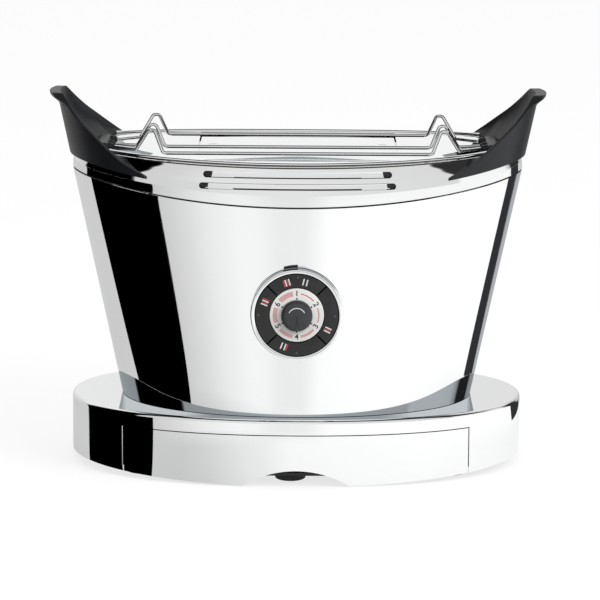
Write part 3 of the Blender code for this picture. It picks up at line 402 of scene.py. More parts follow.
edge_start = BASE_HEIGHT - BASE_EDGE_RADIUS
rings = [base_oval(BASE_WALL, BASE_HEIGHT - BASE_WALL), base_oval(BASE_WALL, skirt_height)]
for share in WALL_LEVEL_SHARES:
    rings.append(base_oval(0, lambda x, share=share: mix(skirt_height(x), edge_start, share)))
for step in range(EDGE_STEPS + 1):
    turn = QUARTER * step / EDGE_STEPS
    inset = BASE_EDGE_RADIUS * (1 - math.cos(turn))
    rings.append(base_oval(inset, edge_start + BASE_EDGE_RADIUS * math.sin(turn)))
half = DRAWER_HALF_LENGTH + DRAWER_GAP
hood = cut(
    loft("base_hood", rings),
    block(
        "crumb_opening",
        (-CRUMB_OPENING_HALF_LENGTH, -CRUMB_OPENING_HALF_DEPTH, BASE_HEIGHT - BASE_WALL - OVERRUN),
        (CRUMB_OPENING_HALF_LENGTH, CRUMB_OPENING_HALF_DEPTH, BASE_HEIGHT + OVERRUN),
    ),
    block(
        "doorway",
        (-half, -BASE_HALF_DEPTH - OVERRUN, -OVERRUN),
        (half, -base_depth(BASE_WALL, half) + OVERRUN, DRAWER_TOP + DRAWER_GAP),
    ),
    turned(
        "gland_hole",
        [(GLAND_RADIUS + GAP, -OVERRUN), (GLAND_RADIUS + GAP, OVERRUN)],
        (0, BASE_HALF_DEPTH, GLAND_HEIGHT),
    ),
)
finish_piece(hood, polished_chrome, "housing", ["base_shell"])
print("base hood:", len(hood.data.polygons), "faces")

# %% [markdown]
# ## The crumb drawer's front
#
# The drawer front continues the hood's wall, with an even gap all round. A shallow arched notch in
# its lower edge takes a fingertip. It rides on the drawer, so it slides out with the tray.

# %% Drawer front
PANEL_STEPS = 120
NOTCH_HALF_CHORD, NOTCH_HEIGHT, NOTCH_STEPS = 0.039, 0.0116, 400
PANEL_LEVEL_SHARES = (0.0, 0.25, 0.5, 0.75, 1.0)

rings = []
for step in range(PANEL_STEPS + 1):
    x = mix(-DRAWER_HALF_LENGTH, DRAWER_HALF_LENGTH, step / PANEL_STEPS)
    outer, inner, low = -base_depth(0, x), -base_depth(BASE_WALL, x), skirt_height(x)
    ring = [Vector((x, outer, mix(low, DRAWER_TOP, share))) for share in PANEL_LEVEL_SHARES]
    ring += [Vector((x, inner, DRAWER_TOP)), Vector((x, inner, low))]
    rings.append(ring)
notch_radius = (NOTCH_HALF_CHORD**2 + NOTCH_HEIGHT**2) / (2 * NOTCH_HEIGHT)
notch_centre = SKIRT_CLEARANCE + NOTCH_HEIGHT - notch_radius
drawer_face = cut(
    loft("drawer_face", rings),
    turned(
        "notch",
        [(notch_radius, -BASE_HALF_DEPTH - OVERRUN), (notch_radius, -BASE_HALF_DEPTH / 2)],
        (0, 0, notch_centre),
        steps=NOTCH_STEPS,
    ),
)
finish_piece(drawer_face, polished_chrome, "drawer", ["drawer_front"])
print("drawer front:", len(drawer_face.data.polygons), "faces")

# %% [markdown]
# ## The body by a rule
#
# The body is one shape with one rule: at every height an oval, longer and a little deeper towards the
# seam. Geometry Nodes suit a rule like this. A plain grid gives every point a place u round the oval
# and v up the wall, and a few math nodes turn u and v into x, y and z. The seam's height depends on
# x, so the top edge curves up towards the handles.

# %% Helpers for Geometry Nodes
def start_tree(name, sizes):
    """A Geometry Nodes tree with a named input for each size; returns the tree and its input sockets."""
    tree = bpy.data.node_groups.new(name, "GeometryNodeTree")
    tree.interface.new_socket("Geometry", in_out="OUTPUT", socket_type="NodeSocketGeometry")
    tree.interface.new_socket("Geometry", in_out="INPUT", socket_type="NodeSocketGeometry")
    for label, kind in sizes:
        tree.interface.new_socket(label, in_out="INPUT", socket_type="NodeSocket" + kind)
    return tree, add(tree, "NodeGroupInput").outputs


def end_tree(tree, geometry, material):
    """Ends a tree with real meshes in their finish, because an export drops instances."""
    real = add(tree, "GeometryNodeRealizeInstances", {"Geometry": geometry}).outputs["Geometry"]
    coated = add(tree, "GeometryNodeSetMaterial", {"Geometry": real, "Material": material})
    end = add(tree, "NodeGroupOutput")
    tree.links.new(coated.outputs["Geometry"], end.inputs["Geometry"])


def calc(tree, operation, *values):
    """One math node, from sockets or numbers."""
    made = add(tree, "ShaderNodeMath", operation=operation)
    for socket, value in zip(made.inputs, values):
        if isinstance(value, bpy.types.NodeSocket):
            tree.links.new(value, socket)
        else:
            socket.default_value = value
    return made.outputs[0]


def grown(name, tree, sizes, source=None):
    """Runs a tree on a source object and keeps the result as a plain mesh object."""
    if source is None:
        source = bpy.data.objects.new(name + "_source", bpy.data.meshes.new(name + "_source"))
    bpy.context.scene.collection.objects.link(source)
    modifier = source.modifiers.new("grow", "NODES")
    modifier.node_group = tree
    for item in tree.interface.items_tree:
        if item.in_out == "INPUT" and item.name in sizes:
            modifier[item.identifier] = sizes[item.name]
    graph = bpy.context.evaluated_depsgraph_get()
    mesh = bpy.data.meshes.new_from_object(source.evaluated_get(graph))
    bpy.data.objects.remove(source, do_unlink=True)
    result = bpy.data.objects.new(name, mesh)
    mesh.shade_smooth()
    mesh.set_sharp_from_angle(angle=SHARP_ANGLE)
    return result


print("Geometry Nodes helpers ready")

# %% Body skin
SKIN_SIZES = [
    ("Foot Half Length", "Float"),
    ("Foot Half Depth", "Float"),
    ("Foot Height", "Float"),
    ("Top Half Length", "Float"),
    ("Top Half Depth", "Float"),
    ("Top Low", "Float"),
    ("Top Rise", "Float"),
    ("Wall", "Float"),
    ("Plan Power", "Float"),
    ("Steps", "Int"),
    ("Levels", "Int"),
]
BODY_LEVELS, SEW_DISTANCE = 24, 0.00001

skin_tree, asked = start_tree("bucket_skin", SKIN_SIZES)


def skin_math(operation, *values):
    return calc(skin_tree, operation, *values)


def skin_mix(share, low, high):
    made = add(skin_tree, "ShaderNodeMix", {0: share, 2: low, 3: high}, data_type="FLOAT")
    return made.outputs[0]


def oval_side(wave, reach):
    """One coordinate of the oval: the sine or cosine raised to two over the plan power, with its sign."""
    shaped = skin_math("POWER", skin_math("ABSOLUTE", wave), skin_math("DIVIDE", 2, asked["Plan Power"]))
    return skin_math("MULTIPLY", skin_math("MULTIPLY", shaped, skin_math("SIGN", wave)), reach)


rows = skin_math("MULTIPLY", asked["Levels"], 2)
grid = add(
    skin_tree,
    "GeometryNodeMeshGrid",
    {
        "Size X": 1.0,
        "Size Y": 1.0,
        "Vertices X": skin_math("ADD", asked["Steps"], 1),
        "Vertices Y": skin_math("ADD", rows, 1),
    },
)
spot = add(skin_tree, "ShaderNodeSeparateXYZ", {0: add(skin_tree, "GeometryNodeInputPosition").outputs[0]})
around = skin_math("MULTIPLY", skin_math("ADD", spot.outputs["X"], 0.5), TURN)
row = skin_math("ROUND", skin_math("MULTIPLY", skin_math("ADD", spot.outputs["Y"], 0.5), rows))
row = skin_math("MODULO", row, rows)
top_row = skin_math("SUBTRACT", asked["Levels"], 1)
climb = skin_math("DIVIDE", skin_math("PINGPONG", row, skin_math("ADD", top_row, 0.5)), top_row)
inset = skin_math("MULTIPLY", skin_math("GREATER_THAN", row, skin_math("ADD", top_row, 0.5)), asked["Wall"])
reach_x = skin_math("SUBTRACT", skin_mix(climb, asked["Foot Half Length"], asked["Top Half Length"]), inset)
reach_y = skin_math("SUBTRACT", skin_mix(climb, asked["Foot Half Depth"], asked["Top Half Depth"]), inset)
skin_x = oval_side(skin_math("COSINE", around), reach_x)
skin_y = oval_side(skin_math("SINE", around), reach_y)
along = skin_math("DIVIDE", skin_x, reach_x)
rise = skin_math("MULTIPLY", skin_math("MULTIPLY", along, along), asked["Top Rise"])
skin_z = skin_mix(climb, asked["Foot Height"], skin_math("ADD", asked["Top Low"], rise))
spots = add(skin_tree, "ShaderNodeCombineXYZ", {"X": skin_x, "Y": skin_y, "Z": skin_z})
places = {"Geometry": grid.outputs["Mesh"], "Position": spots.outputs[0]}
moved = add(skin_tree, "GeometryNodeSetPosition", places).outputs["Geometry"]
sewn = add(skin_tree, "GeometryNodeMergeByDistance", {"Geometry": moved, "Distance": SEW_DISTANCE})
end_tree(skin_tree, sewn.outputs["Geometry"], polished_chrome)

BEZEL_RADIUS = 0.03285
bucket = grown(
    "body_skin",
    skin_tree,
    {
        "Foot Half Length": BODY_FOOT_HALF_LENGTH,
        "Foot Half Depth": BODY_FOOT_HALF_DEPTH,
        "Foot Height": BASE_HEIGHT + GAP,
        "Top Half Length": SEAM_HALF_LENGTH,
        "Top Half Depth": SEAM_HALF_DEPTH,
        "Top Low": SEAM_LOW - SEAM_GROOVE / 2,
        "Top Rise": SEAM_RISE,
        "Wall": SHELL_WALL,
        "Plan Power": BODY_PLAN_POWER,
        "Steps": FINE_STEPS,
        "Levels": BODY_LEVELS,
    },
)
body_skin = cut(
    outward(bucket),
    turned(
        "dial_hole",
        [(BEZEL_RADIUS + GAP, -SEAM_HALF_DEPTH - OVERRUN), (BEZEL_RADIUS + GAP, -BODY_FOOT_HALF_DEPTH / 2)],
        (0, 0, DIAL_HEIGHT),
    ),
)
finish_piece(body_skin, polished_chrome, "housing", ["body_shell"])
print("body skin:", len(body_skin.data.polygons), "faces")

# %% [markdown]
# ## The seam and the top cover
#
# A thin dark gasket closes the seam. The cover above it stands up, then leans in over a soft
# shoulder to the rim. Its profile is a short table of shares, read through a smooth curve, because
# straight steps would show as bands in the chrome. Two long vent slots are cut in each face.

# %% Smooth tables
def smooth_table(table, share):
    """Reads a table of pairs through a curve that stays level where the table does (monotone cubic)."""
    places = [row[0] for row in table]
    values = [row[1] for row in table]
    slopes = [(b - a) / (q - p) for a, b, p, q in zip(values, values[1:], places, places[1:])]
    leans = [slopes[0]]
    for before, after in zip(slopes, slopes[1:]):
        leans.append(0 if before * after <= 0 else 2 * before * after / (before + after))
    leans.append(slopes[-1])
    share = min(max(share, places[0]), places[-1])
    i = max(k for k in range(len(places) - 1) if share >= places[k])
    width = places[i + 1] - places[i]
    t = (share - places[i]) / width
    low, high = values[i], values[i + 1]
    first = (1 + 2 * t) * (1 - t) ** 2 * low + t * (1 - t) ** 2 * width * leans[i]
    return first + t**2 * (3 - 2 * t) * high + t**2 * (t - 1) * width * leans[i + 1]


COVER_LEAN_SHARES = ((0.0, 0.0), (0.3, 0.04), (0.55, 0.22), (0.8, 0.6), (1.0, 1.0))
print("cover lean at half height:", round(smooth_table(COVER_LEAN_SHARES, 0.5), 3))

# %% Seam gasket and top cover
GASKET_THICKNESS, GASKET_INSET = 0.0006, 0.0007
COVER_LEVELS = 28
VENT_ROWS = ((0.223, 0.0668), (0.2152, 0.0697))
VENT_OPENING, VENT_CUT_DEPTH, VENT_END_STEPS = 0.0044, 0.03, 12


def cover_point(turn, share, inset=0.0):
    """A point of the cover's skin, from the seam (share 0) to the rim (share 1)."""
    lean = smooth_table(COVER_LEAN_SHARES, share)
    half_length = mix(SEAM_HALF_LENGTH, RIM_HALF_LENGTH, lean) - inset
    half_depth = mix(SEAM_HALF_DEPTH, RIM_HALF_DEPTH, lean) - inset
    x, y = plan_point(half_length, half_depth, BODY_PLAN_POWER, turn)
    return Vector((x, y, mix(seam_height(x) + SEAM_GROOVE / 2, rim_height(x), share)))


def vent_cutter(name, height, half_length, side):
    """A slot with round ends, pushed through one face of the cover."""
    radius = VENT_OPENING / 2
    outline = []
    for end, start in ((1, -QUARTER), (-1, QUARTER)):
        for step in range(VENT_END_STEPS + 1):
            turn = start + math.pi * step / VENT_END_STEPS
            x = end * (half_length - radius) + radius * math.cos(turn)
            outline.append((x, height + radius * math.sin(turn)))
    reaches = (side * (SEAM_HALF_DEPTH + OVERRUN), side * (SEAM_HALF_DEPTH - VENT_CUT_DEPTH))
    return loft(name, [[Vector((x, y, z)) for x, z in outline] for y in reaches])


half = GASKET_THICKNESS / 2
rings = []
for inset, lift in ((GASKET_INSET, -half), (GASKET_INSET, half), (SHELL_WALL, half), (SHELL_WALL, -half)):
    reach = (SEAM_HALF_LENGTH - inset, SEAM_HALF_DEPTH - inset)
    rings.append(oval_ring(*reach, BODY_PLAN_POWER, lambda x, lift=lift: seam_height(x) + lift))
finish_piece(loft("seam_strip", rings, closed=True), foot_rubber, "housing", ["seam_gasket"])

turns = [TURN * step / FINE_STEPS for step in range(FINE_STEPS)]
levels = [level / COVER_LEVELS for level in range(COVER_LEVELS + 1)]
rings = [[cover_point(turn, share) for turn in turns] for share in levels]
rings += [[cover_point(turn, share, SHELL_WALL) for turn in turns] for share in reversed(levels)]
cutters = [
    vent_cutter(f"vent_{row}_{side}", height, half_length, side)
    for row, (height, half_length) in enumerate(VENT_ROWS)
    for side in (-1, 1)
]
cover = cut(loft("cover_skin", rings, closed=True), *cutters)
finish_piece(cover, polished_chrome, "housing", ["top_cover"])
print("cover:", len(cover.data.polygons), "faces,", len(cutters), "vent slots")

# %% [markdown]
# ## Bent and rolled wires
#
# The rim of the cover is a rolled bead, and the warming rack is three bent wires. All of them are a
# round bar that follows a path, so one Geometry Nodes tree makes them: it rounds the path's corners
# and sweeps a circle along it.

# %% Wires and beads
SWEEP_SIZES = [("Radius", "Float"), ("Bend Radius", "Float"), ("Bend Steps", "Int"), ("Sides", "Int")]
WIRE_SIDES, BEND_STEPS, BEAD_STEPS = 24, 10, 160


def sweep_tree(name, material):
    tree, asked = start_tree(name, SWEEP_SIZES)
    path = add(tree, "GeometryNodeMeshToCurve", {"Mesh": asked["Geometry"]})
    bent = add(
        tree,
        "GeometryNodeFilletCurve",
        {"Curve": path.outputs["Curve"], "Radius": asked["Bend Radius"], "Limit Radius": True},
        mode="POLY",
    )
    tree.links.new(asked["Bend Steps"], bent.inputs["Count"])
    round_bar = {"Resolution": asked["Sides"], "Radius": asked["Radius"]}
    circle = add(tree, "GeometryNodeCurvePrimitiveCircle", round_bar)
    bar = add(
        tree,
        "GeometryNodeCurveToMesh",
        {"Curve": bent.outputs["Curve"], "Profile Curve": circle.outputs["Curve"], "Fill Caps": True},
    )
    end_tree(tree, bar.outputs["Mesh"], material)
    return tree


def path_thing(name, points):
    """A source object that holds only a path, as points joined by edges."""
    mesh = bpy.data.meshes.new(name + "_path")
    mesh.from_pydata(points, [(i, i + 1) for i in range(len(points) - 1)], [])
    return bpy.data.objects.new(name + "_path", mesh)


def swept(name, tree, points, radius, bend=0.0):
    sizes = {"Radius": radius, "Bend Radius": bend, "Bend Steps": BEND_STEPS, "Sides": WIRE_SIDES}
    return outward(grown(name, tree, sizes, path_thing(name, points)))


chrome_sweep = sweep_tree("chrome_bead", polished_chrome)
wire_sweep = sweep_tree("bent_wire", wire_chrome)
shadow_line_tree = sweep_tree("painted_shadow_bar", dark_chrome)

RIM_BAND_RADIUS, RIM_BAND_SETBACK = 0.0015, 0.0215
RIM_SHADOW_LINES, RIM_SHADOW_RADIUS = (("upper", 0.0013, 0.0003), ("lower", 0.0009, 0.0023)), 0.0005
DOOR_BEAD_RADIUS, DOOR_BEAD_INSET, DOOR_BEAD_SUNK = 0.0005, 0.0004, 0.0003
half_length, half_depth = RIM_HALF_LENGTH - SHELL_WALL / 2, RIM_HALF_DEPTH - SHELL_WALL / 2
start = plan_turn(half_length, BODY_PLAN_POWER, RIM_HALF_LENGTH - RIM_BAND_SETBACK)
for side, place in ((-1, "front"), (1, "back")):
    points = []
    for step in range(BEAD_STEPS + 1):
        turn = side * mix(start, math.pi - start, step / BEAD_STEPS)
        x, y = plan_point(half_length, half_depth, BODY_PLAN_POWER, turn)
        points.append(Vector((x, y, rim_height(x) + GAP + RIM_BAND_RADIUS)))
    bead = swept(f"rim_bead_{place}", chrome_sweep, points, RIM_BAND_RADIUS)
    finish_piece(bead, None, "housing", [f"rim_band_{place}"])
    # Two thin near-black bars below each bead are painted shadow where the rolled bead meets the cover.
    for name, out, drop in RIM_SHADOW_LINES:
        shifted = [point + Vector((0, side * out, -drop)) for point in points]
        rim_shadow = swept(f"rim_fold_{name}_{place}", shadow_line_tree, shifted, RIM_SHADOW_RADIUS)
        finish_piece(rim_shadow, None, "housing")
print("rim beads:", BEAD_STEPS, "steps each")

for side, place in ((-1, "left"), (1, "right")):
    x = side * (DRAWER_HALF_LENGTH + DRAWER_GAP + DOOR_BEAD_INSET)
    y = DOOR_BEAD_SUNK - base_depth(0, x)
    points = [Vector((x, y, skirt_height(x))), Vector((x, y, DRAWER_TOP))]
    bead = swept(f"doorway_bead_{place}", chrome_sweep, points, DOOR_BEAD_RADIUS)
    finish_piece(bead, None, "housing")
print("doorway: a bead down each side")

# %% [markdown]
# ## The warming rack
#
# Three bent steel wires lie across the opening and rise to a peak near each end, so that a roll rests
# above the slots. Each wire is one path of twelve points. The tree rounds its corners as a bending
# jig would. The wires end in black blocks, and black noses close the joints.

# %% Warming rack
CRADLE_FRONT = 0.1372
RACK_WIRE_RADIUS, RACK_BEND_RADIUS, RACK_END_STRAIGHT = 0.0013, 0.003, 0.005
RACK_HEIGHT, RACK_PEAK_RISE, RACK_PEAK_WIDTH = 0.2326, 0.0155, 0.0022
RACK_SPREAD, RACK_END_SPREAD = 0.05, 0.019
RACK_FLAT_SETBACK, RACK_PEAK_SETBACK, RACK_FOOT_SETBACK = 0.0407, 0.0322, 0.0207
RACK_HALF_LENGTH = CRADLE_FRONT - RACK_FLAT_SETBACK
RACK_PEAK_X, RACK_FOOT_X = CRADLE_FRONT - RACK_PEAK_SETBACK, CRADLE_FRONT - RACK_FOOT_SETBACK
RACK_PEAK_SIDE_SHARES = (0.5, 0.4)
RACK_ROWS = (("front", -1), ("middle", -0.32), ("back", 1))

end_face = CRADLE_FRONT + GAP
straight = end_face - RACK_END_STRAIGHT
for place, row in RACK_ROWS:
    y, end_y = row * RACK_SPREAD, row * RACK_END_SPREAD
    bend_y = mix(y, end_y, (RACK_FOOT_X - RACK_HALF_LENGTH) / (straight - RACK_HALF_LENGTH))
    outer_y, inner_y = [mix(y, bend_y, share) for share in RACK_PEAK_SIDE_SHARES]
    peak = RACK_HEIGHT + RACK_PEAK_RISE
    half_path = [
        Vector((end_face - GAP, end_y, RACK_HEIGHT)),
        Vector((straight, end_y, RACK_HEIGHT)),
        Vector((RACK_FOOT_X, bend_y, RACK_HEIGHT)),
        Vector((RACK_PEAK_X + RACK_PEAK_WIDTH, outer_y, peak)),
        Vector((RACK_PEAK_X - RACK_PEAK_WIDTH, inner_y, peak)),
        Vector((RACK_HALF_LENGTH, y, RACK_HEIGHT)),
    ]
    mirrored = [Vector((-point.x, point.y, point.z)) for point in reversed(half_path)]
    rod = swept(f"rack_rod_{place}", wire_sweep, half_path + mirrored, RACK_WIRE_RADIUS, RACK_BEND_RADIUS)
    finish_piece(rod, None, "rack", [f"rack_wire_{place}"])

RACK_END_LENGTH, RACK_END_HALF_WIDTH, RACK_END_HEIGHT, RACK_END_ROUNDING = 0.0085, 0.026, 0.0068, 0.002
CRADLE_BOTTOM, CRADLE_TOP, CRADLE_FLOOR, CRADLE_WALL = 0.226, 0.2312, 0.003, 0.003
CRADLE_STEPS = 60
NOSE_RADIUS, NOSE_REACH, NOSE_STEPS = 0.0031, 0.0052, 6


def rounded_off(thing, width, segments=4):
    """Rounds the sharp edges of a thing for good."""
    bpy.context.scene.collection.objects.link(thing)
    bevel = thing.modifiers.new("round", "BEVEL")
    bevel.width, bevel.segments, bevel.limit_method = width, segments, "ANGLE"
    graph = bpy.context.evaluated_depsgraph_get()
    mesh = bpy.data.meshes.new_from_object(thing.evaluated_get(graph))
    name = thing.name
    bpy.data.objects.remove(thing, do_unlink=True)
    mesh.shade_smooth()
    mesh.set_sharp_from_angle(angle=SHARP_ANGLE)
    return bpy.data.objects.new(name, mesh)


bottom = CRADLE_BOTTOM + CRADLE_FLOOR + GAP
nose_profile = [(NOSE_RADIUS, 0)]
for step in range(1, NOSE_STEPS + 1):
    turn = QUARTER * step / NOSE_STEPS
    radius = mix(NOSE_RADIUS, RACK_WIRE_RADIUS, 1 - math.cos(turn))
    nose_profile.append((radius, NOSE_REACH * math.sin(turn)))
for side, place in ((-1, "left"), (1, "right")):
    edges = sorted((side * end_face, side * (end_face + RACK_END_LENGTH)))
    low = (edges[0], -RACK_END_HALF_WIDTH, bottom)
    high = (edges[1], RACK_END_HALF_WIDTH, bottom + RACK_END_HEIGHT)
    holder = rounded_off(block(f"rack_holder_{place}", low, high), RACK_END_ROUNDING)
    finish_piece(holder, satin_black, "rack", [f"rack_end_{place}"])
    for row_name, row in RACK_ROWS:
        rings = []
        for radius, along in nose_profile:
            x = side * (end_face + GAP - along)
            ring = []
            for step in range(WIRE_SIDES):
                turn = TURN * step / WIRE_SIDES
                y = row * RACK_END_SPREAD + radius * math.cos(turn)
                ring.append(Vector((x, y, RACK_HEIGHT + radius * math.sin(turn))))
            rings.append(ring)
        finish_piece(loft(f"holder_nose_{place}_{row_name}", rings), satin_black, "rack")
print("rack rods:", len(RACK_ROWS), "with a nose at each end")


# %% [markdown]
# ## Cradles for the rack
#
# A black tray under each handle carries the rack's end block. It is an open box with a floor and low
# walls, because the block has to lift straight out of it.

# %% Cradles
def cradle_outline(inset, side):
    """The end of the oval inside the cover, closed by a straight front edge."""
    half_length = RIM_HALF_LENGTH - SHELL_WALL - GAP - inset
    half_depth = RIM_HALF_DEPTH - SHELL_WALL - GAP - inset
    limit = plan_turn(half_length, BODY_PLAN_POWER, CRADLE_FRONT)
    outline = []
    for step in range(CRADLE_STEPS + 1):
        x, y = plan_point(half_length, half_depth, BODY_PLAN_POWER, mix(-limit, limit, step / CRADLE_STEPS))
        outline.append((side * x, y))
    return outline


for side, place in ((-1, "left"), (1, "right")):
    pocket = cradle_outline(CRADLE_WALL, side)
    mouth = side * (CRADLE_FRONT - OVERRUN)
    pocket = [(mouth, pocket[0][1]), *pocket, (mouth, pocket[-1][1])]
    solid = loft(
        f"{place}_tray",
        [[Vector((x, y, z)) for x, y in cradle_outline(0, side)] for z in (CRADLE_BOTTOM, CRADLE_TOP)],
    )
    heights = (CRADLE_BOTTOM + CRADLE_FLOOR, CRADLE_TOP + OVERRUN)
    hollow = loft("pocket", [[Vector((x, y, z)) for x, y in pocket] for z in heights])
    finish_piece(cut(solid, hollow), satin_black, "housing", [f"{place}_cradle"])
print("cradles:", CRADLE_STEPS, "steps round each end")

# %% [markdown]
# ## The wing handles
#
# A wing handle is a thick black moulding that hugs the cover's end. It starts in a point on each
# face, climbs to a flat-topped tip and is scooped out behind its edge. Slices round the end carry
# the shape: outer skin, edge, scooped inside, toe over the rim, underside. Corners are softened by a
# short curve, because moulded plastic has no knife edges and the softened edge is what catches light.

# %% Handle slices
HANDLE_POINT_X, HANDLE_HALF_DEPTH = SEAM_HALF_LENGTH - 0.054, SEAM_HALF_DEPTH + 0.0013
HANDLE_POINT_HEIGHT, HANDLE_SEAM_DROP, HANDLE_TIP_HEIGHT = 0.0015, 0.0100, RIM_LOW + 0.0438
HANDLE_TIP_START_SHARE, HANDLE_CONE_SLOPE, HANDLE_EDGE_WIDTH = 0.945, 0.213, 0.0026
LIP_START, LIP_FLARE, LIP_FULL_SHARE = HANDLE_TIP_HEIGHT - 0.009, 0.0052, 0.8
HANDLE_TOE, HANDLE_TOE_REACH, HANDLE_TOE_START, HANDLE_TOE_END = 0.0012, 0.003, 0.02, 0.015
HANDLE_CLIMB_SHARES = (
    (0.0, 0.0),
    (0.19, 0.105),
    (0.31, 0.18),
    (0.5, 0.35),
    (0.7, 0.557),
    (0.82, 0.694),
    (0.92, 0.845),
    (1.0, 1.0),
)
OUTSIDE_SHARES = (0, 0.1, 0.2, 0.3, 0.4, 0.5, 0.6, 0.7, 0.76, 0.8, 0.83, 0.86, 0.89, 0.92, 0.95, 0.975, 1)
SCOOP_SHARES = (0, 0.1, 0.2, 0.3, 0.4, 0.5, 0.6, 0.7, 0.8, 0.9)
UNDERSIDE_SHARES = (0, 0.15, 0.3, 0.45, 0.6, 0.75, 0.9, 1)
HANDLE_SLICES, SOFT_STEPS, SOFT_REACH_SHARE, EDGE_SOFTNESS = 150, 5, 0.45, 0.0007
handle_end = SEAM_HALF_LENGTH + HANDLE_CONE_SLOPE * HANDLE_SEAM_DROP
seam_end = SEAM_LOW + SEAM_RISE


def handle_low(x):
    return seam_height(x) + HANDLE_SEAM_DROP


def handle_top(x):
    point = handle_low(HANDLE_POINT_X) + HANDLE_POINT_HEIGHT
    share = (abs(x) - HANDLE_POINT_X) / (handle_end - HANDLE_POINT_X) / HANDLE_TIP_START_SHARE
    return mix(point, HANDLE_TIP_HEIGHT, smooth_table(HANDLE_CLIMB_SHARES, max(share, 0)))


def handle_outer(turn, height, inset=0.0, flared=True):
    """A point of the wing's outer skin, which carries on the taper of the body."""
    half_length = SEAM_HALF_LENGTH + HANDLE_CONE_SLOPE * (height - seam_end) - inset
    if flared and height > LIP_START:
        climb = (height - LIP_START) / (HANDLE_TIP_HEIGHT - LIP_START)
        half_length += LIP_FLARE * math.sin(QUARTER * min(climb / LIP_FULL_SHARE, 1)) ** 2
    x, y = plan_point(half_length, HANDLE_HALF_DEPTH - inset, BODY_PLAN_POWER, turn)
    return Vector((x, y, height))


def softened(outline, corners, reach):
    """Swaps the named corners of a closed outline for short curves, never past half of a side."""
    result = []
    for i, point in enumerate(outline):
        if i not in corners:
            result.append(point)
            continue
        before, after = outline[i - 1] - point, outline[(i + 1) % len(outline)] - point
        first = point + before.normalized() * min(reach, before.length * SOFT_REACH_SHARE)
        last = point + after.normalized() * min(reach, after.length * SOFT_REACH_SHARE)
        for step in range(SOFT_STEPS + 1):
            t = step / SOFT_STEPS
            result.append(first * (1 - t) ** 2 + point * 2 * t * (1 - t) + last * t**2)
    return result


def handle_slice(turn):
    x, _ = plan_point(handle_end, HANDLE_HALF_DEPTH, BODY_PLAN_POWER, turn)
    low, top = handle_low(x), handle_top(x)
    outline = [handle_outer(turn, mix(low, top, share)) for share in OUTSIDE_SHARES]
    seam, rim = cover_point(turn, 0), cover_point(turn, 1)
    low_share = (low - seam.z) / (rim.z - seam.z)
    top_share = min((top - HANDLE_POINT_HEIGHT / 2 - seam.z) / (rim.z - seam.z), 1)
    toe_place = rim.x - RIM_HALF_LENGTH + HANDLE_TOE_START
    toe_share = min(max(toe_place / (HANDLE_TOE_START - HANDLE_TOE_END), 0), 1)
    edge = handle_outer(turn, top, HANDLE_EDGE_WIDTH, flared=False)
    clear = -RIM_BAND_RADIUS - GAP if top_share == 1 else -GAP
    over = cover_point(turn, top_share, mix(clear, HANDLE_TOE_REACH, toe_share))
    foot = over + Vector((0, 0, GAP + HANDLE_TOE * toe_share))
    for share in SCOOP_SHARES:
        point = edge.lerp(foot, share**2)
        point.z = mix(edge.z, foot.z, share)
        outline.append(point)
    outline.append(foot)
    outline.append(over + Vector((0, 0, GAP / 2 + GAP / 2 * toe_share)))
    for share in UNDERSIDE_SHARES:
        under = cover_point(turn, mix(top_share, low_share, share), -GAP)
        under.z += GAP * toe_share * (1 - share)
        outline.append(under)
    edge_corners = (len(OUTSIDE_SHARES) - 1, len(OUTSIDE_SHARES))
    return softened(outline, edge_corners, EDGE_SOFTNESS)


limit = plan_turn(handle_end, BODY_PLAN_POWER, HANDLE_POINT_X)
for side, place in ((-1, "left"), (1, "right")):
    rings = []
    for step in range(HANDLE_SLICES + 1):
        outline = handle_slice(mix(-limit, limit, step / HANDLE_SLICES))
        rings.append([Vector((side * point.x, point.y, point.z)) for point in outline])
    finish_piece(loft(f"{place}_wing", rings), satin_black, "housing", [f"{place}_handle"])
print("wings:", len(rings), "slices of", len(outline), "points")


# %% [markdown]
# ## Louvres behind the slots
#
# Behind each pair of slots lies a bright insert with a thin blade for every slot. The blade stops
# short of the slot's round ends, where a small black clip holds it, so each slot ends in a dark spot.
# A Geometry Nodes tree could sweep them too, but a blade is a strip of the cover's own curve, so it
# is lofted from the cover's points.

# %% Louvres
INSERT_THICKNESS, INSERT_HALF_LENGTH, INSERT_SETBACK = 0.001, 0.073, 0.0022
INSERT_LOW_SHARE, INSERT_HIGH_SHARE, INSERT_STEPS, INSERT_LEVELS = 0.36, 0.9, 100, 10
VENT_SHADOW_HALF_LENGTH, VENT_SHADOW_RADIUS = 0.044, 0.00035
BLADE_END_SPACE, BLADE_THICKNESS, BLADE_LIFT, BLADE_DROP = 0.0064, 0.0005, 0.0016, 0.0021


def cover_share(height, x):
    return (height - seam_height(x)) / (rim_height(x) - seam_height(x))


def cover_strip(name, half_length, ring_at):
    """A strip along the cover's face, lofted from one ring of points for each step of x."""
    start = plan_turn(RIM_HALF_LENGTH, BODY_PLAN_POWER, half_length)
    rings = [ring_at(mix(start, math.pi - start, step / INSERT_STEPS)) for step in range(INSERT_STEPS + 1)]
    return loft(name, rings)


